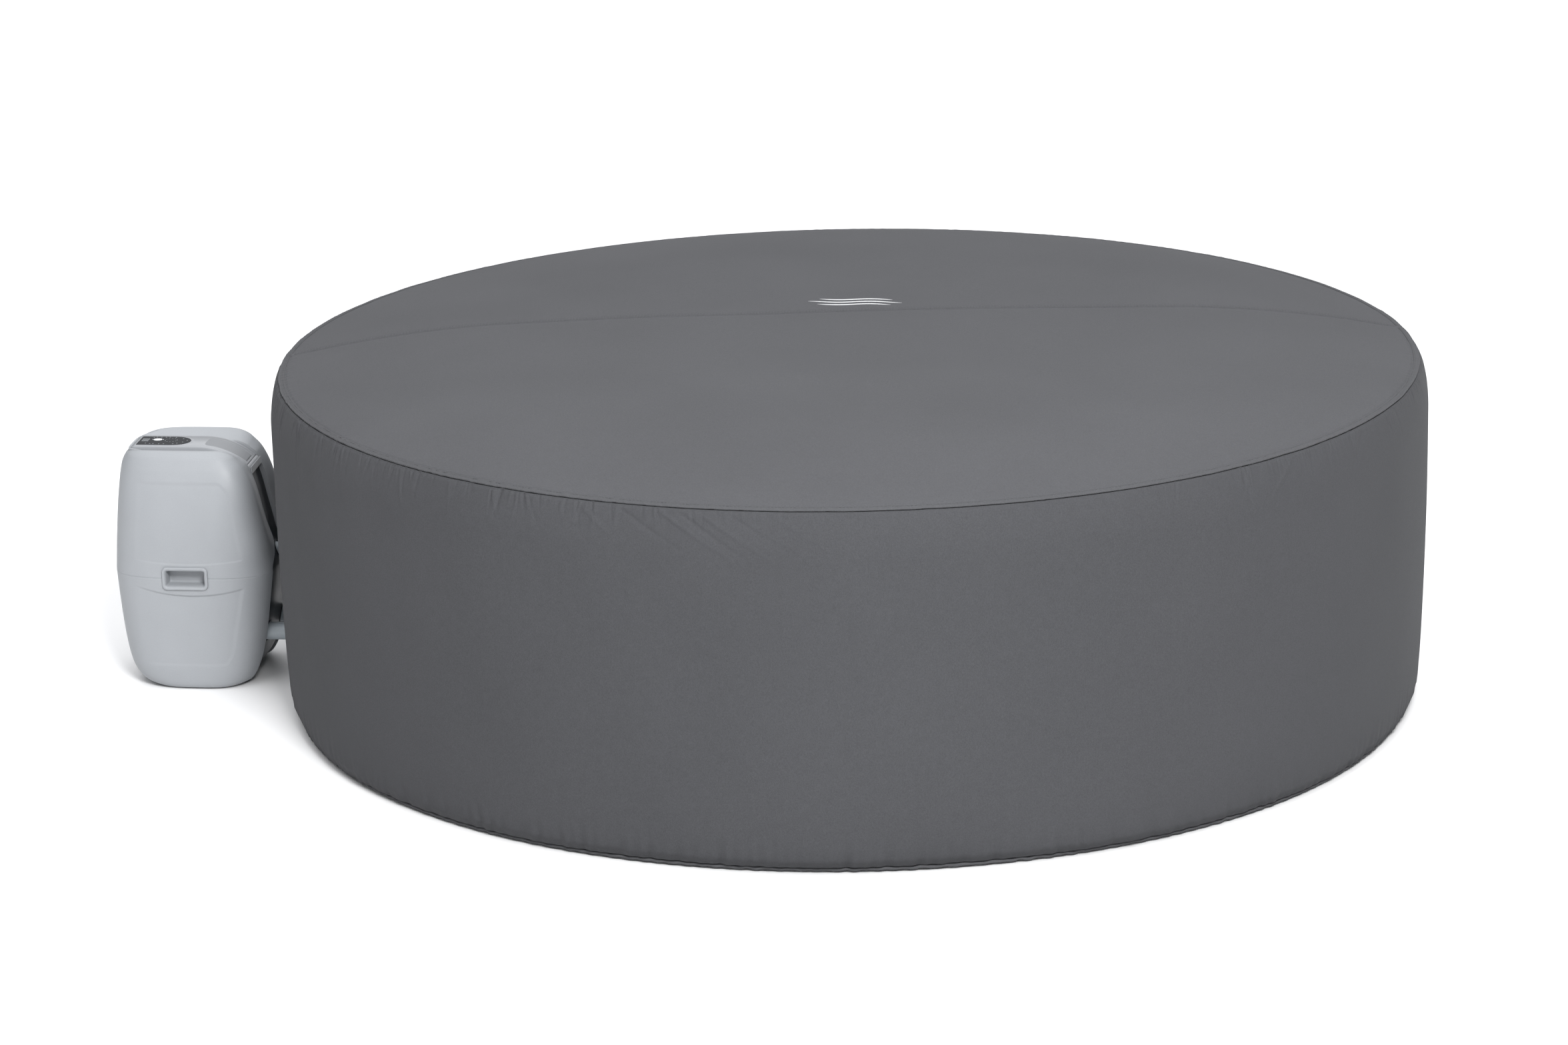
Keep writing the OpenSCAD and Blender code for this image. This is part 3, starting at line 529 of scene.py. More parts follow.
def rim_wobble(turn):
    """Small kinks of the rim seam at the degrees in KINKS, in metres along the radius."""
    kinks = 0.0
    for k, (place, size) in enumerate(KINKS.items()):
        width = math.radians(0.5 + 0.15 * (k % 3))
        kinks = kinks + size * np.exp(-(around(turn, math.radians(place)) / width) ** 2)
    return (0.6 * kinks + 0.6 * wander(turn, 5, 20, 70)) * MM


def skirt_radius(z):
    """Radius of the skirt's outer face at a height, as in the frame."""
    shoulder, lip_z, lip_r = 0.620, RIM_Z - 7 * MM, RIM_R + 7 * MM
    hem_top, hem_low, hem_r, low_r = 0.070, 0.014, 1.172, 1.188
    upper = SKIRT_R - (SKIRT_R - lip_r) * np.clip((z - shoulder) / (lip_z - shoulder), 0, 1) ** 2.2
    middle = low_r + (SKIRT_R - low_r) * np.sin(
        math.pi / 2 * np.clip((z - hem_top) / (shoulder - hem_top), 0, 1)) ** 0.63
    lower = hem_r + (low_r - hem_r) * np.sqrt(
        np.clip(1 - ((hem_top - z) / (hem_top - hem_low + 2 * MM)) ** 2, 0, 1))
    return np.where(z > shoulder, upper, np.where(z > hem_top, middle, lower))


def pucker_field(turn, depth):
    """Gathers under the rim seam: short vertical folds, metres in or out."""
    rng = np.random.default_rng(11)
    total = np.zeros(np.broadcast(turn, depth).shape)
    count = 1000
    places = np.sort(rng.uniform(0, 2 * math.pi, count))
    strengths = gather_strength(places) * (0.8 + 0.4 * wander(places, 12, 30, 90))
    for k, (place, strength) in enumerate(zip(places, strengths)):
        widths, lengths = ((3.0, 5.5), (30, 58)) if k % 5 == 0 else ((1.9, 3.2), (12, 30))
        width = rng.uniform(*widths) * MM / SKIRT_R
        length = rng.uniform(*lengths) * MM * (0.5 + 0.55 * abs(strength))
        size = rng.uniform(0.8, 3.0) * (0.7 if k % 2 else -1.0) * MM * strength
        slant = rng.normal(0, 0.2) / SKIRT_R
        reach = np.abs(around(turn[0], place)) < 0.04
        if not reach.any():
            continue
        offset = around(turn[:, reach], place) - slant * depth[:, reach]
        fade = np.exp(-(depth[:, reach] / length) ** 1.6)
        total[:, reach] += size * fade * np.exp(-(offset / width) ** 2)
    return total


DRAG_LINES = (  # place in degrees, lean in radians per metre, size in mm, length in m
    (250.5, 1.0, 1.8, 0.05), (254, 1.5, -2.2, 0.06), (258.0, 1.4, 2.6, 0.07), (259.8, 1.3, -2.6, 0.07),
    (261.8, 1.35, 2.2, 0.065), (264.2, 1.5, -1.8, 0.06), (268.5, 1.3, 1.4, 0.05), (218, -0.6, 1.6, 0.09),
    (322, -1.0, 1.8, 0.08), (334, -0.9, -1.6, 0.08), (60, 1.0, 1.8, 0.09), (110, -1.0, 1.6, 0.09),
    (150, 0.8, -1.6, 0.08))


def drag_field(turn, z):
    """Long soft folds: broad hanging waves and a few diagonal drag lines."""
    total = 1.6 * MM * wander(turn, 21, 5, 16) * step((0.70 - z) / 0.3)
    total = total + 0.8 * MM * wander(turn + 0.18 * z, 22, 22, 46) * step((z - 0.1) / 0.3)
    drop = RIM_Z - z
    for place, lean, size, length in DRAG_LINES:
        offset = around(turn, math.radians(place)) - lean * drop
        total = total + size * MM * np.exp(-(offset / 0.0062) ** 2) * np.exp(-(drop / length) ** 2)
    return total


def hem_field(turn, z):
    """Small puckers where elastic draws the hem in."""
    near = np.exp(-((z - 0.014) / 0.035) ** 2)
    return near * (1.3 * wander(turn, 31, 150, 330, 24) + 1.2 * wander(turn, 32, 60, 120)) * MM


ARCH_HALF = 130 * MM
ARCH_TOP = 330 * MM
ARCH_CORNER = 60 * MM


def arch_height(y):
    """Height of the arch's edge over the pipes at a distance from the middle plane."""
    side = np.clip((np.abs(y) - (ARCH_HALF - ARCH_CORNER)) / ARCH_CORNER, 0, 1)
    return ARCH_TOP - ARCH_CORNER * (1 - np.sqrt(1 - side ** 2))


def skirt_heights(turn, in_arch):
    """Heights of the skirt's rows: close together in the gathers, then evenly down to the edge."""
    top_z, gathers_end = RIM_Z - 3.5 * MM, 0.09
    low = np.full_like(turn, 14 * MM)
    if in_arch:
        low[0] = arch_height(SKIRT_R * np.sin(turn[0]))
    fine = top_z - gathers_end * np.linspace(0, 1, 34) ** 1.2
    rest = np.linspace(0, 1, 31)[1:, None]
    upper = np.repeat(fine[:, None], turn.shape[1], 1)
    return np.concatenate([upper, fine[-1] + (low - fine[-1]) * rest], 0)


def skirt_surface(turn, z):
    """The skirt's radius at turns and heights, with all its folds."""
    drop = z[0, 0] - z
    tuck = 3.4 * MM * (1 - step(drop / (5 * MM)))
    radius = skirt_radius(np.minimum(z, RIM_Z - 7 * MM)) - tuck + rim_wobble(turn) * np.exp(-drop / 0.02)
    radius = radius + pucker_field(turn, drop) * step(drop / (3 * MM))
    radius = radius + drag_field(turn, z) * step(drop / (20 * MM)) + hem_field(turn, z)
    return np.minimum(radius, SKIRT_R + 4 * MM)


def make_skirt(looks):
    """One sheet from the rim seam to the hem, with the arch over the pipes cut out."""
    cols = 4800
    arch_turn = math.asin(ARCH_HALF / SKIRT_R)
    edge = math.pi - arch_turn
    parts = []
    for start, span, in_arch in ((-edge, 2 * edge, False), (edge, 2 * arch_turn, True)):
        count = round(cols * span / (2 * math.pi)) + 1
        turn = np.linspace(start, start + span, count)[None, :]
        z = skirt_heights(turn, in_arch)
        turns = np.repeat(turn, len(z), 0)
        points = polar(skirt_surface(turns, z), turns, z)
        parts.append((points.reshape(-1, 3), grid_faces(len(z), count)[:, ::-1]))
    points, faces = join_meshes(parts)
    skirt = piece_from("skirt_cloth", points, faces, looks["side_cloth_painted_shade"], "cover", ["cover_skirt"])
    weld(skirt, 0.3 * MM)
    thicken(skirt, CLOTH)
    return skirt


def make_arch_binding(looks):
    """The bound edge of the arch over the pipes."""
    across = np.linspace(-ARCH_HALF, ARCH_HALF, 70)
    rise = np.linspace(0.012, ARCH_TOP - ARCH_CORNER, 21)[:-1]
    y = np.concatenate([np.full(20, -ARCH_HALF), across, np.full(20, ARCH_HALF)])
    z = np.concatenate([rise, arch_height(across), rise[::-1]])
    radius = skirt_radius(z) - 1.2 * MM
    points, faces = sweep_tube(np.stack([-np.sqrt(radius ** 2 - y ** 2), y, z], -1), 3.6 * MM, 8)
    return piece_from("arch_binding", points, faces, looks["trim_cloth"], "cover")


def make_hem(looks):
    """The elastic casing along the hem, puckered, and open at the arch."""
    arch_turn = math.asin((ARCH_HALF + 2 * MM) / 1.166)
    turn = np.linspace(-math.pi + arch_turn, math.pi - arch_turn, 1500)
    radius = 1.1665 + 1.0 * MM * wander(turn, 31, 150, 330, 24)
    z = 8 * MM + 0.8 * MM * wander(turn, 33, 120, 260, 16)
    points, faces = sweep_tube(polar(radius, turn, z), 5.2 * MM, 10, squash=0.78)
    return piece_from("hem_casing", points, faces, looks["trim_cloth"], "cover", ["hem_band"])


def seam_ray_length(direction):
    """Distance from the seam's middle to the rim along directions in the plan."""
    along = direction @ SEAM_POINT
    return -along + np.sqrt(along ** 2 + RIM_R ** 2 - SEAM_POINT @ SEAM_POINT)


def make_top_panel(name, node, start, looks):
    """One half of the crowned top, as a fan of cloth from the seam's middle to the rim."""
    cols, rows = 900, 150
    turn = SEAM_TURN + start + np.linspace(0, math.pi, cols)
    direction = np.stack([np.cos(turn), np.sin(turn)], -1)
    reach = seam_ray_length(direction) + 0.3 * MM
    share = np.concatenate([np.linspace(0, 0.955, rows - 40), 0.955 + 0.045 * np.linspace(0, 1, 41)[1:]])
    plan = SEAM_POINT + direction[None] * (reach[None, :] * share[:, None])[..., None]
    angle = np.arctan2(plan[..., 1], plan[..., 0])
    inside = RIM_R - np.hypot(plan[..., 0], plan[..., 1])
    z = cloth_height(plan[..., 0], plan[..., 1])
    stitch = np.exp(-((inside - 11 * MM) / (2.0 * MM)) ** 2)
    across = (plan - SEAM_POINT) @ np.array([-math.sin(SEAM_TURN), math.cos(SEAM_TURN)])
    seam_dip = np.exp(-(across / (14 * MM)) ** 2) * step((inside - 20 * MM) / (40 * MM))
    pull = gather_strength(angle)
    ripple = 0.55 * wander(angle, 41, 160, 420, 30) + 0.45 * wander(angle, 42, 60, 150, 20)
    z = z - MM * (1.3 * stitch + 1.2 * seam_dip)
    near_rim = np.exp(-((inside - 14 * MM) / (12 * MM)) ** 2) * step(inside / (5 * MM))
    z = z + MM * 0.8 * ripple * pull * near_rim
    z = np.minimum(z, CROWN_Z + 1 * MM)
    return grid_piece(name, np.concatenate([plan, z[..., None]], -1), looks["top_cloth"], "cover", [node],
                      flip=True, thickness=CLOTH)


def on_cloth(plan, lift):
    """Points over the plan at a height above the top cloth."""
    return np.concatenate([plan, (cloth_height(plan[:, 0], plan[:, 1]) + lift)[:, None]], 1)


def make_seam_fold(looks):
    """The flat-felled fold along the seam between the two top panels, and its stitches."""
    along = np.array([math.cos(SEAM_TURN), math.sin(SEAM_TURN)])
    across = np.array([-along[1], along[0]])
    ends = [seam_ray_length((along * sign)[None])[0] - 7 * MM for sign in (-1, 1)]
    s = np.linspace(-ends[0], ends[1], 700)
    rng = np.random.default_rng(7)
    waver = sum(rng.uniform(0.2, 0.5) * np.sin(k * s * 3 + rng.uniform(0, 6)) for k in (1, 2, 4, 7)) * MM
    profile = ((-8.5, -1.5), (-7.9, 0.1), (-6.6, 1.0), (-3.0, 1.4), (2.4, 1.5), (6.0, 1.3), (7.4, 0.4),
               (8.0, -1.8))
    rows = []
    for offset, lift in profile:
        plan = SEAM_POINT + np.outer(s, along) + np.outer(offset * MM + waver, across)
        rows.append(on_cloth(plan, (lift - 0.2) * MM))
    fold = grid_piece("seam_fold", np.stack(rows), looks["top_cloth"], "cover",
                      thickness=0.8 * MM)
    stitches = []
    for offset in (-4.6, 4.6):
        for s0 in np.arange(-ends[0] + 0.01, ends[1] - 0.01, 6.5 * MM):
            ends_s = np.array([s0, s0 + 4.3 * MM])
            plan = SEAM_POINT + np.outer(ends_s, along) + offset * MM * across
            plan = plan + np.outer(np.interp(ends_s, s, waver), across)
            stitches.append(sweep_tube(on_cloth(plan, 1.1 * MM), 0.45 * MM, 5))
    return fold, joined_piece("seam_stitches", stitches, looks["thread"], "cover")


def make_rim(looks):
    """The folded lip round the rim, rolled over the skirt's top edge, with its stitch line."""
    cols = 2400
    turn = np.linspace(0, 2 * math.pi, cols, endpoint=False)
    wobble = rim_wobble(turn)
    pull = gather_strength(turn)
    ripple = 0.6 * wander(turn, 41, 160, 420, 30) + 0.4 * wander(turn, 42, 60, 150, 20)
    ripple = MM * 0.5 * pull * ripple
    profile = ((-9.8, 0.0), (-9.2, 1.3), (-7.0, 1.7), (-3.0, 1.7), (-1.7, 0.9), (-0.8, 1.0), (0.2, 1.9),
               (1.5, 2.2), (2.8, 1.6), (3.4, 0.3), (3.0, -1.0), (1.9, -2.0), (0.0, -2.4))
    rows = []
    for offset, lift in profile:
        radius = RIM_R + offset * MM + wobble * step((offset + 13) / 10)
        height = crown_height(np.minimum(radius, RIM_R)) + (lift - 1.0) * MM + ripple
        rows.append(polar(radius, turn, height))
    lip = grid_piece("rim_lip", np.stack(rows), looks["trim_cloth"], "cover", ["rim_piping"],
                     wrap=True, flip=True, thickness=0.9 * MM)
    pitch = 7.0 * MM / RIM_R
    radius = RIM_R - 6.6 * MM
    height = crown_height(radius) + 0.65 * MM
    stitches = []
    for start in np.arange(0, 2 * math.pi - pitch, pitch):
        ends = np.array([start, start + pitch * 0.66])
        stitches.append(sweep_tube(polar(radius, ends, height), 0.5 * MM, 5))
    return lip, joined_piece("rim_stitches", stitches, looks["thread"], "cover")


def make_mark(looks):
    """A plain printed mark of three ripples, behind the seam."""
    middle = np.array([0.0, 0.163])
    parts = []
    for half, lift in ((78, 22), (100, 0), (78, -22)):
        x = np.linspace(-half, half, 70) * MM
        taper = np.clip(1 - (x / (half * MM)) ** 4, 0.02, 1)
        y = lift * MM + 5 * MM * np.sin(x / (22 * MM))
        rows = []
        for side in (-3.2, 3.2):
            plan = middle + np.stack([x, y + side * MM * taper], -1)
            rows.append(on_cloth(plan, 0.5 * MM))
        parts.append((np.concatenate(rows), grid_faces(2, len(x))))
    mark = joined_piece("ripple_mark", parts, looks["mark"], "cover")
    thicken(mark, 0.3 * MM)
    return mark


def make_lid(looks):
    """The inflated lid inside the cover: pillowed between parallel inner webs."""
    low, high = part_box("lid_bladder")
    cols, rows = 240, 70
    turn = np.linspace(0, 2 * math.pi, cols, endpoint=False)[None]
    share = np.linspace(0.0, 1, rows)[:, None] ** 0.9
    inner_edge = high[0] - 16 * MM
    r = inner_edge * np.maximum(share, 0.001)
    x, y = r * np.cos(turn), r * np.sin(turn)
    pitch = 0.26
    weld = np.abs(np.sin(math.pi * x / pitch)) ** 0.45
    under = low[2] + 3 * MM + 16 * MM * (1 - weld) * step((inner_edge - r) / 0.08)
    roof = crown_height(r) - 9 * MM - 12 * MM * (1 - weld) * step((inner_edge - r) / 0.08)
    bottom = np.stack([x, y, under + 0 * x], -1)
    top = np.stack([x, y, roof + 0 * x], -1)[::-1]
    sides = []
    for t in np.linspace(0, 1, 10)[1:-1]:
        bulge = inner_edge + 14 * MM * math.sin(math.pi * t)
        height = bottom[-1, :, 2] * (1 - t) + top[0, :, 2] * t
        sides.append(polar(bulge, turn[0], height))
    lid = grid_piece("lid_pillow", np.concatenate([bottom, np.stack(sides), top]), looks["vinyl"], "cover",
                     ["lid_bladder"], wrap=True, flip=True)
    return lid


# ---------------------------------------------------------------- inflated tub

def make_wall(looks):
    """The inflated wall: lobes between its webs, flat-welded round the top and bottom."""
    low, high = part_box("wall_chamber")
    outer, inner = high[1], 865 * MM
    webs = 24
    cols = webs * 24
    turn = np.linspace(0, 2 * math.pi, cols, endpoint=False)[None]
    lobe = np.abs(np.cos(turn * webs / 2)) ** 0.6
    corner = 62 * MM
    path = []
    for cx, cz, start in ((inner + corner, low[2] + corner, 180), (outer - corner, low[2] + corner, 270),
                          (outer - corner, high[2] - corner, 0), (inner + corner, high[2] - corner, 90)):
        for a in np.linspace(start, start + 90, 10):
            a = math.radians(a)
            path.append((cx + corner * math.cos(a), cz + corner * math.sin(a)))
    path.append(path[0])
    path = np.array(path)
    length = np.concatenate([[0], np.cumsum(np.linalg.norm(np.diff(path, axis=0), axis=1))])
    even = np.linspace(0, length[-1], 131)[:-1]
    r = np.interp(even, length, path[:, 0])[:, None]
    z = np.interp(even, length, path[:, 1])[:, None]
    height = (z - low[2]) / (high[2] - low[2])
    upright = step((height - 0.04) / 0.2) * step((0.96 - height) / 0.2)
    middle = (inner + outer) / 2
    side = np.sign(r - middle) * step(np.abs(r - middle) / 0.07)
    r = r - side * 9 * MM * (1 - lobe) * upright
    points = polar(r, turn, z)
    faces = grid_faces(len(even), cols, wrap=True)
    last = (len(even) - 1) * cols
    j = np.arange(cols)
    closing = np.stack([last + j, last + (j + 1) % cols, (j + 1) % cols, j], -1)
    wall = piece_from("wall_lobes", points.reshape(-1, 3), np.concatenate([faces, closing])[:, ::-1],
                      looks["vinyl"], "tub", ["wall_chamber"])


def make_floor_panel(looks):
    """The tub's floor sheet, embossed with round pads."""
    low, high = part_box("floor_panel")
    radius = high[0]
    cols, rows = 360, 120
    turn = np.linspace(0, 2 * math.pi, cols, endpoint=False)[None]
    r = radius * np.maximum(np.linspace(0, 1, rows)[:, None], 0.001)
    x, y = r * np.cos(turn), r * np.sin(turn)
    pitch = 0.09
    pads = np.cos(2 * math.pi * x / pitch) * np.cos(2 * math.pi * y / pitch)
    z = high[2] - 2.4 * MM + 2.4 * MM * step((np.abs(pads) - 0.15) / 0.5) * step((radius - r) / 0.05)
    grid_piece("floor_sheet", np.stack([x, y, z], -1), looks["vinyl"], "tub", ["floor_panel"],
               wrap=True, thickness=1.2 * MM)


# ---------------------------------------------------------------- pump unit

# Outline stations in mm: heights, then the reach away from and towards the tub and the half width,
# each ending with its value at the crest.
STATION_Z = np.array([4, 10, 24, 50, 100, 180, 250, 313, 376, 434, 475, 496])
REACH_OUT = np.array([115, 133, 150, 163, 173, 181, 186, 182, 177, 171, 165, 159, 138])
REACH_IN = np.array([98, 110, 122, 134, 148, 161, 171, 159, 145, 131, 114, 97, 62])
HALF_WIDTH = np.array([146, 150, 153, 155, 157, 160, 161, 158, 153, 144, 131, 120, 98])
WAIST = 6
SHOULDER_Z = 496.0
CREST_Z = 512.6
WAIST_Z = 250.0
CHANNEL = 46.0
CHANNEL_X = -147.0
CREST_Y = 98.0
DISH = 15.0
WIDE = 97.0


def station(z, column):
    """A station column at height z (mm): creased at the waist, rolled over at the crest."""
    column, top_end = column[:-1], column[-1]
    low = rounding(z, STATION_Z[:WAIST + 1], column[:WAIST + 1])
    high = rounding(z, STATION_Z[WAIST:], column[WAIST:])
    lean = (column[-1] - column[-2]) / (STATION_Z[-1] - STATION_Z[-2])
    share = np.clip((z - SHOULDER_Z) / (CREST_Z - SHOULDER_Z), 0, 1)
    run = column[-1] + lean * (CREST_Z - SHOULDER_Z) - top_end
    crest = column[-1] + lean * (z - SHOULDER_Z) - run * (1 - np.sqrt(1 - share ** 2))
    return np.where(z < STATION_Z[WAIST], low, np.where(z < SHOULDER_Z, high, crest))


def squareness(x, z):
    """The outline's superellipse power: squarer towards the tub above the waist."""
    return 3.5 + np.where(x > 0, 0.9 * step((z - WAIST_Z) / 80), 0)


def ring_point(t, z):
    """A point on the body's outline at height z: t runs from the outer end round the front."""
    c, s = -np.cos(t), np.sin(t)
    reach = np.where(c < 0, station(z, REACH_OUT), station(z, REACH_IN))
    power = squareness(c, z)
    x = np.sign(c) * reach * np.abs(c) ** (2 / power)
    y = -station(z, HALF_WIDTH) * np.abs(s) ** (2 / power)
    return x, y


def ring_turn(y, z, inward):
    """The t at which the outline reaches a given |y|, on the outer end or towards the tub."""
    power = squareness(1 if inward else -1, z)
    t = np.arcsin(np.clip(y / station(z, HALF_WIDTH), 0, 1) ** (power / 2))
    return math.pi - t if inward else t


def even_turns(t0, t1, count):
    """Turns between t0 and t1 that space the waist's points evenly, as shares from 0 to 1."""
    t = np.linspace(t0, t1, 4000)
    x, y = ring_point(t, np.full_like(t, WAIST_Z))
    length = np.concatenate([[0], np.cumsum(np.hypot(np.diff(x), np.diff(y)))])
    return (np.interp(np.linspace(0, length[-1], count), length, t) - t0) / (t1 - t0)


def edge_reach(z):
    """Half width of the dark spine's slot on the tub side at a height."""
    return np.where(z < WAIST_Z, WIDE, CHANNEL + (WIDE - CHANNEL) * step((318 - z) / 68))


def panel_depth(x, z):
    """How far the front's recessed panels lie below the surface, in mm."""
    ledge = 279 + 9 * ((x + 10) / 120) ** 2
    brow = 213 + 14 * (x / 108) ** 2
    right_upper = 111 - 0.17 * (z - 290) - 18 * step((z - 415) / 45) ** 2
    left_upper = -127 + 0.07 * (z - 281)
    right_lower = 111 - 0.20 * (227 - z) - 10 * step((95 - z) / 45) ** 2
    left_lower = -131 + 0.04 * (221 - z)
    upper = step((z - ledge) / 2.6) * step((457 - z) / 9)
    upper = upper * step((right_upper + 2 - x) / 10) * step((x - left_upper) / 20)
    lower = step((brow - z) / 2.8) * step((z - 52) / 9)
    lower = lower * step((right_lower + 2 - x) / 10) * step((x - left_lower) / 30)
    scoop = np.clip(1 - (x / 118) ** 2, 0, 1) * np.exp(-np.clip(brow - z, 0, 200) / 34)
    return 1.3 * upper + lower * (1.2 + 3.2 * scoop)


def dish_share(y):
    """How far a point lies down the slope from the crest to the channel's edge, 0 to 1."""
    return step((CREST_Y - np.abs(y)) / (CREST_Y - CHANNEL))


def surface_normals(p):
    along = np.gradient(p, axis=0)
    across = np.gradient(p, axis=1)
    n = np.cross(across, along)
    size = np.linalg.norm(n, axis=-1, keepdims=True)
    return n / np.maximum(size, 1e-9)


def to_world(p, rear):
    """Pump millimetres to the row frame, mirrored for the rear cheek."""
    p = np.array(p, float)
    if rear:
        p[..., 1] *= -1
    return p * MM + np.array([PUMP_X, 0, 0])


GRIP_X = -13.0
END_COLS = 16
FRONT_COLS = 300


def cheek_rows(z):
    """Rows of outline points at the heights z, from the outer end's middle to the slot's edge."""
    z = z[:, None]
    y_end = np.linspace(0, CHANNEL, END_COLS + 1)[None, :-1]
    t_end = ring_turn(y_end, z, False)
    t0 = ring_turn(CHANNEL, z, False)
    t1 = ring_turn(edge_reach(z), z, True)
    waist_ends = [float(ring_turn(CHANNEL, WAIST_Z, inward)) for inward in (False, True)]
    share = even_turns(*waist_ends, FRONT_COLS)
    t = np.concatenate([t_end, t0 + (t1 - t0) * share[None]], 1)
    zz = z + 0 * t
    x, y = ring_point(t, zz)
    y[:, :END_COLS] = -y_end
    return np.stack([x, y, zz], -1)


def dish_depth(x):
    """How far the channel's edge lies below the crest: least on the outer end's lip."""
    return DISH - 6 * step((-x - 105) / 38)


def tub_side_normal(z):
    """The outward direction of the tub side's profile at a height, as (x, z)."""
    lean = (station(z + 0.05, REACH_IN) - station(z - 0.05, REACH_IN)) / 0.1
    lean = np.where(z > CREST_Z - 0.1, -1e3, lean)
    size = np.hypot(1, lean)
    return 1 / size, -lean / size


def hollow_channel(p):
    """Slopes the surface from the crest down to the channel, and closes its outer end with a lip."""
    x, y, z = p[..., 0], p[..., 1], p[..., 2]
    share = dish_share(y)
    nx, nz = tub_side_normal(z)
    deep = 1.5 + 7.5 * step((z - 270) / 90) + (DISH - 9) * step((z - 475) / (CREST_Z - 475))
    deep = deep * share * (x > 0)
    top_outline = 138 * np.clip(1 - (np.abs(y) / CREST_Y) ** 3.5, 0, 1) ** (1 / 3.5)
    lip = -np.maximum(np.abs(x), top_outline * (1 + 0.1015 * share))
    sink = dish_depth(lip) * share * step((z - 478) / (CREST_Z - 478))
    out = p.copy()
    out[..., 0] = np.where(x > 0, x - deep * nx, lip)
    out[..., 2] = np.where(x > 0, z - deep * nz, z - sink)
    return out


def relief(p):
    """Presses the front panels and the waist's soft groove into the surface."""
    n = surface_normals(p)
    x, y, z = p[..., 0], p[..., 1], p[..., 2]
    facing = step((np.abs(y) - 100) / 30)
    depth = panel_depth(x, z) * facing + 0.5 * np.exp(-((z - WAIST_Z) / 1.3) ** 2)
    return p - n * depth[..., None]


def cap_rows(crest):
    """From the crest line down the slope to the channel's edge."""
    edge = crest.copy()
    edge[:, 0] = np.maximum(edge[:, 0], CHANNEL_X)
    edge[:, 1] = -np.minimum(np.abs(crest[:, 1]), CHANNEL)
    rows = []
    for share in np.linspace(0, 1, 26)[1:]:
        p = crest + (edge - crest) * share
        p[:, 2] = CREST_Z - dish_depth(p[:, 0]) * dish_share(p[:, 1])
        rows.append(p)
    return np.stack(rows)


def edge_wall(edge, nx, nz):
    """The rolled edge and flat inner wall below a line of edge points."""
    rows = []
    for depth, shift in ((0, 0), (0.5, 0.25), (1.2, 0.6), (2.2, 0.8), (9, 0.8), (28, 0.8)):
        p = edge.copy()
        p[:, 0] -= depth * nx
        p[:, 2] -= depth * nz
        end = np.abs(edge[:, 1]) < CHANNEL - 0.1
        p[:, 0] += np.where(end & (edge[:, 0] < 0), shift, 0)
        p[:, 1] += np.where(end, 0, shift)
        rows.append(p)
    return np.stack(rows)


def trim_faces(points, faces):
    """Leaves out the outer panel's opening and the patch behind the carry grip."""
    centre = points[faces].mean(1)
    inside = np.abs(centre[:, 1]) < CHANNEL - 0.5
    slot = inside & (centre[:, 0] < -100) & (centre[:, 2] > 14) & (centre[:, 2] < 466)
    grip = (np.abs(centre[:, 0] - GRIP_X) < 43) & (np.abs(centre[:, 2] - WAIST_Z) < 19) & (centre[:, 1] < -130)
    return faces[~(slot | grip)]


def make_upper_cheek(name, node, rear, looks):
    roll = SHOULDER_Z + (CREST_Z - SHOULDER_Z) * np.sin(np.linspace(0, math.pi / 2, 16))
    z = np.concatenate([[250.08, 250.6, 251.4], np.linspace(252.5, SHOULDER_Z, 150)[:-1], roll])
    rows = hollow_channel(relief(cheek_rows(z)))
    cap = cap_rows(rows[-1])
    grid = np.concatenate([rows, cap])
    nx, nz = tub_side_normal(z)
    top = cap[-1]
    edge = np.concatenate([top, rows[::-1, -1]])
    edge_nx = np.concatenate([np.zeros(len(top)), nx[::-1]])
    edge_nz = np.concatenate([np.ones(len(top)), nz[::-1]])
    wall = edge_wall(edge, edge_nx, edge_nz)
    points = grid.reshape(-1, 3)
    faces = trim_faces(points, grid_faces(len(grid), grid.shape[1]))
    parts = [(points, faces), (wall.reshape(-1, 3), grid_faces(len(wall), wall.shape[1])[:, ::-1])]
    finish_shell(name, node, parts, rear, looks)


def make_lower_cheek(name, node, rear, looks):
    z = np.concatenate([[4.0, 5, 6.5, 8.5, 11, 14, 18, 23, 29], np.linspace(33, 247.5, 124),
                        [248.6, 249.4, 249.92]])
    rows = relief(cheek_rows(z))
    under = []
    for share in (0.75, 0.45, 0.2, 0.06):
        p = rows[0].copy()
        p[:, 0] *= 1 - 0.35 * share
        p[:, 1] *= 1 - share
        under.append(p)
    grid = np.concatenate([np.stack(under), rows])
    wall = edge_wall(rows[:, -1], np.ones(len(rows)), np.zeros(len(rows)))
    points = grid.reshape(-1, 3)
    faces = trim_faces(points, grid_faces(len(grid), grid.shape[1]))
    parts = [(points, faces), (wall.reshape(-1, 3), grid_faces(len(wall), wall.shape[1]))]
    finish_shell(name, node, parts, rear, looks)


def finish_shell(name, node, parts, rear, looks):
    points, faces = join_meshes(parts)
    if rear:
        faces = [f[::-1] for f in faces]
    piece = piece_from(name, to_world(points, rear), faces, looks["shell"], "tub", [node])
    weld(piece, 0.05 * MM)
    thicken(piece, 1.3 * MM)


def rounded_frame(cx, cz, w, h, r, count=10):
    """Points of a rounded rectangle in the X-Z plane, anticlockwise."""
    out = []
    for sx, sz, start in ((1, 1, 0), (-1, 1, 90), (-1, -1, 180), (1, -1, 270)):
        for a in np.linspace(start, start + 90, count):
            out.append((cx + sx * (w / 2 - r) + r * math.cos(math.radians(a)),
                        cz + sz * (h / 2 - r) + r * math.sin(math.radians(a))))
    return np.array(out)


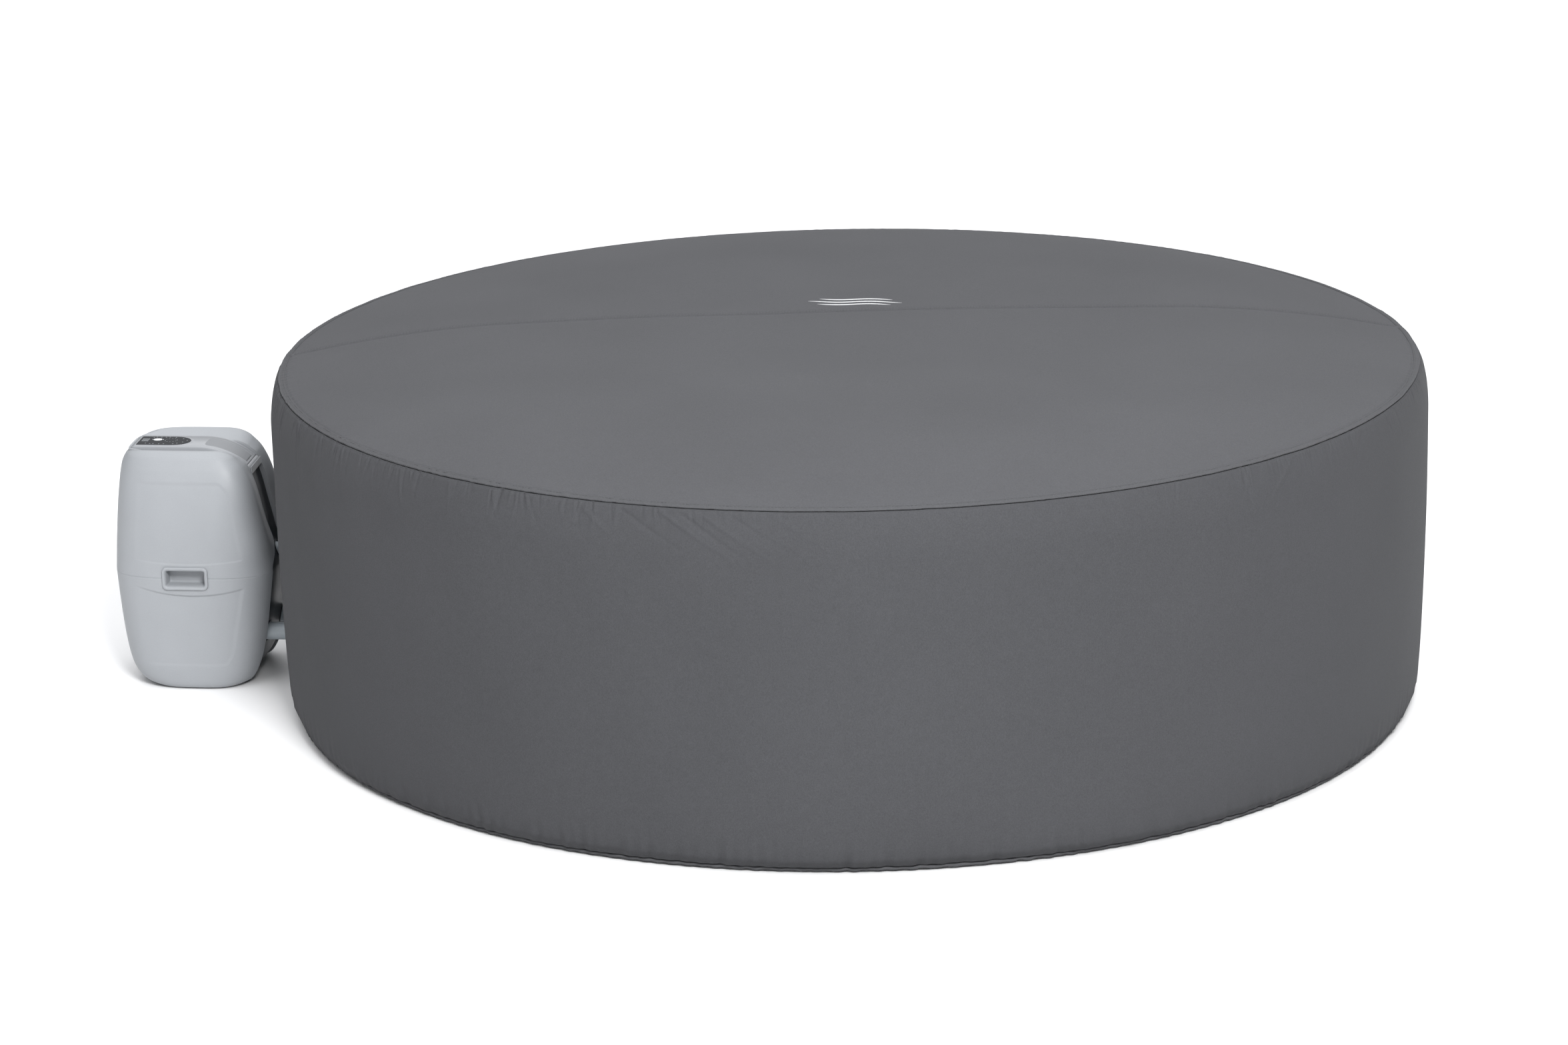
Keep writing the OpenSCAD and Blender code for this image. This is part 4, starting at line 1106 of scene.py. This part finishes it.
def make_grip(name, node, rear, looks):
    """A carry grip: rounded bezel, then a finger cup whose floor slopes up behind the lip."""
    w, h = 97.0, 48.0
    sections = (  # width, height, corner radius, place along Y
        (w - 1.5, h - 1.5, 9.5, -159.0), (w, h, 10, -161.6), (w - 0.8, h - 0.8, 9.8, -163.0),
        (w - 3, h - 3, 9, -163.7), (w - 6, h - 6, 8, -163.6), (w - 8.5, h - 8.5, 7, -163.0),
        (w - 10.6, h - 10.6, 6, -161.8), (w - 12.4, h - 12.4, 5.4, -159.5),
        (w - 14, h - 14, 4.6, -155.0), (w - 15.6, h - 15.4, 4, -148.0),
        (w - 16.6, h - 16.4, 4, -138.0), (w - 19, h - 19, 5, -134.6), (w - 26, h - 26, 4, -134.0),
        (w - 60, 3, 1, -134.0))
    rows = []
    for sw, sh, r, y in sections:
        frame_line = rounded_frame(GRIP_X, WAIST_Z, sw, max(sh, 2.2 * r), r)
        rows.append(np.stack([frame_line[:, 0], np.full(len(frame_line), y), frame_line[:, 1]], -1))
    grid = np.stack(rows)
    points = to_world(grid.reshape(-1, 3), rear)
    faces = grid_faces(len(rows), grid.shape[1], wrap=True).tolist()
    faces.append(last_corners(*grid.shape[:2]))
    if rear:
        faces = [f[::-1] for f in faces]
    piece = piece_from(name, points, faces, looks["shell"], "tub", [node])
    thicken(piece, 1.2 * MM, 1.0)


def arm_top(x):
    """Height of the arm's upper surface along X, in mm: flat, then an arc to the hinge."""
    run, top, hinge_top = HINGE_X, 507.0, 467.0
    radius = (run ** 2 + (top - hinge_top) ** 2) / (2 * (top - hinge_top))
    return np.where(x > 0, top - radius + np.sqrt(radius ** 2 - np.clip(x, 0, run) ** 2), top)


def make_arm(looks):
    """The control arm: a hollow lever with soft edges, a rim round its top and a hinge barrel."""
    end, half = -141.5, 43.5
    x = np.concatenate([[end, -141.2, -140.3, -138.5, -135.5], np.linspace(-131, 96, 70), [99, 102, HINGE_X]])
    tail = np.clip((x - end) / 5, 0, 1)
    section = ((-half, -21), (-half, -2.4), (-half + 0.25, -1.2), (-half + 0.8, -0.4), (-half + 1.7, 0),
               (-half + 2.6, 0), (-half + 3.1, -0.9), (-half + 4.0, -1.0))
    section = list(section) + [(-y, z) for y, z in reversed(section)]
    rows = []
    for xi, ti in zip(x, tail):
        round_down = 4.5 * (1 - math.sqrt(max(0, 1 - (1 - ti) ** 2)))
        top, narrow = float(arm_top(xi)), 1 - 0.02 * (1 - ti)
        rows.append([(xi, y * narrow, top + z - round_down * (z > -20)) for y, z in section])
    grid = np.array(rows)
    faces = grid_faces(len(rows), grid.shape[1]).tolist()
    faces.append(list(range(grid.shape[1]))[::-1])
    parts = [(to_world(grid.reshape(-1, 3), False), faces)]
    hinge = np.array([[HINGE_X, y, 459.0] for y in (-43.5, -43.0, 43.0, 43.5)])
    barrel, barrel_faces = sweep_tube(hinge, 7.8, 28)
    parts.append((to_world(barrel, False), barrel_faces))
    points, faces = join_meshes(parts)
    arm = piece_from("arm_shell", points, faces, looks["arm"], "arm", ["control_arm"])
    thicken(arm, 1.6 * MM)


def glass_line(margin=0.0, nose_gain=0.0, count=24):
    """The bullet outline of the touch glass in the X-Y plane, in mm."""
    tail, nose, shoulder, half = -137 + margin, -24 - margin + nose_gain, -64, 34 - margin
    t = np.radians(np.linspace(-90, 90, count))
    tip = np.stack([shoulder + (nose - shoulder) * np.cos(t), half * np.sin(t)], -1)
    r = 4.0
    corner = []
    for cy, start in ((half - r, 90), (-half + r, 180)):
        for a in np.linspace(start, start + 90, 6):
            corner.append((tail + r + r * math.cos(math.radians(a)), cy + r * math.sin(math.radians(a))))
    return np.concatenate([tip, corner])


def disc_stack(name, outline_at, levels, look, body, replaced=()):
    """Stacks outlines at levels (margin, z in mm) and closes both ends."""
    rows = []
    for margin, z in levels:
        line = outline_at(margin)
        rows.append(np.concatenate([line, np.full((len(line), 1), z)], 1))
    grid = np.stack(rows)
    cols = grid.shape[1]
    faces = grid_faces(len(rows), cols, wrap=True).tolist()
    faces.append(list(range(cols))[::-1])
    faces.append(last_corners(len(rows), cols))
    piece = piece_from(name, to_world(grid.reshape(-1, 3), False), faces, look, body, replaced)
    for polygon in piece.data.polygons:
        if len(polygon.vertices) > 4:
            polygon.use_smooth = False
    return piece


def make_panel_face(looks):
    """The touch glass, its raised light rim, and the marks under the glass."""
    disc_stack("glass_rim", lambda m: glass_line(m - 2.6, 4.0),
               ((1.5, 505.2), (0.2, 506.0), (0, 507.0), (0.4, 507.7), (1.2, 508.0), (2.3, 508.0), (2.6, 507.6)),
               looks["arm"], "arm")
    disc_stack("touch_face", glass_line, ((0.3, 505.5), (0.2, 507.4), (0.5, 508.1), (1.2, 508.35)),
               looks["glass"], "arm", ["touch_glass"])
    dim, bright = [], []

    def dot(cx, cy, rx, ry, into, sides=14):
        turn = (np.arange(sides) + 0.5) * 2 * math.pi / sides
        ring = np.stack([cx + rx * np.cos(turn), cy + ry * np.sin(turn)], -1)
        low = np.concatenate([ring, np.full((sides, 1), 508.3)], 1)
        top = np.concatenate([ring, np.full((sides, 1), 508.5)], 1)
        faces = grid_faces(2, sides, wrap=True).tolist() + [list(range(sides, 2 * sides))]
        into.append((to_world(np.concatenate([low, top]), False), faces))

    for row in range(4):
        for column in range(2):
            dot(-129.5 + 3.8 * row, -2 + 12 * column, 2.2, 7.0, dim, 4)
    dot(-98, 8, 9.5, 8.0, bright, 26)
    ring_middle = (-68, 4)
    for k in range(12):
        a = k * math.pi / 6
        dot(ring_middle[0] + 13 * math.cos(a), ring_middle[1] + 13 * math.sin(a), 1.3, 1.3, dim, 8)
    for x, y in ((-110, 24), (-104, 26), (-94, 26), (-84, 26), (-76, 27), (-62, 25), (-44, 16),
                 (-40, -10), (-118, -22), (-108, -25), (-101, -25), (-88, -26), (-78, -25), (-58, -24),
                 (-50, -20), (-33, 3)):
        dot(x, y, 1.7, 2.0, dim, 10)
    for x, y in ((-109, 8), (-86, 8)):
        dot(x, y, 0.8, 2.2, bright, 6)
    for name, parts, look in (("glass_marks", dim, "print"), ("power_key", bright, "print_bright")):
        joined_piece(name, parts, looks[look], "arm", smooth=False)


def make_arm_inlay(looks):
    """The mid-grey skin on the arm, from the glass's nose to the hinge."""
    x = np.linspace(-52, 100, 70)
    half = 40.3
    y = np.linspace(-half, half, 25)
    grid = np.zeros((len(x), len(y), 3))
    for i, xi in enumerate(x):
        grid[i, :, 0] = xi
        grid[i, :, 1] = y
        crown = 1.2 * (1 - (y / half) ** 4)
        grid[i, :, 2] = float(arm_top(xi)) - 1.3 + crown * step((xi + 10) / 30)
    grid_piece("arm_inlay", to_world(grid, False), looks["mid"], "arm", ["arm_cover"],
               thickness=1.0 * MM)


PIPES = ((65, 108, 21.6), (-65, 108, 21.6), (0, 272, 17.6))  # place along Y, height and collar radius


def make_spine(looks):
    """The dark spine: a narrow trough above, flaring to a wide back panel round the pipes."""
    z = np.concatenate([np.linspace(12, 60, 14), np.linspace(66, 448, 90)])
    reach = station(z, REACH_IN)
    half = np.minimum(edge_reach(z) - 0.8, 96.5)
    inset = 10 + 9 * step((z - 240) / 70) + 5 * step((50 - z) / 40)
    v = np.linspace(-1, 1, 61)[None]
    across = np.sign(v) * np.abs(v) ** 0.9
    y = across * half[:, None]
    width = station(z, HALF_WIDTH)[:, None]
    power = squareness(1, z)[:, None]
    rounded = (1 - (np.abs(y) / width) ** power) ** (1 / power)
    x = reach[:, None] * rounded - inset[:, None]
    grid = np.stack([x, y, z[:, None] + 0 * y], -1)
    faces = grid_faces(len(z), 61)
    centre = grid.reshape(-1, 3)[faces].mean(1)
    hole = np.zeros(len(faces), bool)
    for py, pz, r in PIPES:
        hole |= np.hypot(centre[:, 1] - py, centre[:, 2] - pz) < r - 3.1
    spine = piece_from("spine_skin", to_world(grid.reshape(-1, 3), False), faces[~hole], looks["charcoal"],
                       "tub", ["spine_panel"])
    thicken(spine, 2.4 * MM)
    collars = []
    for py, pz, r in PIPES:
        turn = np.linspace(0, 2 * math.pi, 48, endpoint=False)
        ring_y, ring_z = py + r * np.cos(turn), pz + r * np.sin(turn)
        ring_x = np.interp(ring_z, z, reach - inset) * (1 - (np.abs(ring_y) / 158) ** 3.5) ** (1 / 3.5) - 0.5
        ring = to_world(np.stack([ring_x, ring_y, ring_z], -1), False)
        collars.append(sweep_tube(ring, 2.4 * MM, 8, closed=True))
    joined_piece("pipe_collars", collars, looks["charcoal"], "tub")


def make_outer_grille(looks):
    """The panel down the outer end, with turned-in edges and air slots."""
    z = np.linspace(14, 466.5, 227)
    section = ((-45.2, 1.0), (-44.6, 1.6), (-43.6, 3.2), (-41.5, 4.6), (-39, 5.0), (-34, 5.0))
    flat = (-31.9, *np.linspace(-28, 28, 9), 31.9)
    section = (*section, *((y, 5.0) for y in flat), *((-y, depth) for y, depth in reversed(section)))
    reach = station(z, REACH_OUT)
    grid = np.array([[(-r + depth, y, zi) for y, depth in section] for zi, r in zip(z, reach)])
    faces = grid_faces(len(z), len(section))
    centre = grid.reshape(-1, 3)[faces].mean(1)
    slots = (np.abs(centre[:, 1]) < 32) & (centre[:, 2] > 300) & (centre[:, 2] < 392)
    slots &= ((centre[:, 2] - 300) % 14) < 6
    gland = (np.hypot(centre[:, 1], centre[:, 2] - 92) < 9)
    faces = faces[~(slots | gland)][:, ::-1]
    grille = piece_from("outer_grille", to_world(grid.reshape(-1, 3), False), faces, looks["mid"], "tub",
                        ["outer_panel"])
    thicken(grille, 2.2 * MM)


def make_hinge_bar(looks):
    """The light bar across the channel at the arm's hinge."""
    line = np.array([[113.0, 449.5], [115.9, 449.5], [116.6, 450.6], [115.2, 463.4], [114.6, 464.4],
                     [113.7, 464.8], [113.0, 464.3], [112.7, 450.2]])
    rows = []
    for y, shrink in ((-44.6, 0.8), (-44.2, 0.96), (-43.4, 1.0), (43.4, 1.0), (44.2, 0.96), (44.6, 0.8)):
        middle = line.mean(0)
        ring = middle + (line - middle) * shrink
        rows.append(np.stack([ring[:, 0], np.full(len(ring), y), ring[:, 1]], -1))
    grid = np.stack(rows)
    cols = grid.shape[1]
    faces = grid_faces(len(rows), cols, wrap=True)[:, ::-1].tolist()
    faces.append(list(range(cols)))
    faces.append(last_corners(len(rows), cols)[::-1])
    piece_from("hinge_bar_cap", to_world(grid.reshape(-1, 3), False), faces, looks["arm"], "tub",
               ["hinge_bar"], smooth=False)


def build_cover(looks):
    skirt = make_skirt(looks)
    binding = make_arch_binding(looks)
    hem = make_hem(looks)
    front = make_top_panel("top_cloth_front", "cover_top_front", math.pi, looks)
    rear = make_top_panel("top_cloth_rear", "cover_top_rear", 0.0, looks)
    fold, seam_thread = make_seam_fold(looks)
    lip, rim_thread = make_rim(looks)
    mark = make_mark(looks)
    lid = make_lid(looks)


def build_pump(looks):
    for side, rear in (("front", False), ("rear", True)):
        make_upper_cheek(side + "_upper_cheek", side + "_upper_shell", rear, looks)
        make_lower_cheek(side + "_lower_cheek", side + "_lower_shell", rear, looks)
        make_grip(side + "_grip_cup", side + "_grip", rear, looks)
    make_arm(looks)
    make_arm_inlay(looks)
    make_panel_face(looks)
    make_spine(looks)
    make_outer_grille(looks)
    make_hinge_bar(looks)


add_camera()
light_studio()
add_floor()
LOOKS = make_materials()
dress_nodes(LOOKS)
build_cover(LOOKS)
make_wall(LOOKS)
make_floor_panel(LOOKS)
build_pump(LOOKS)
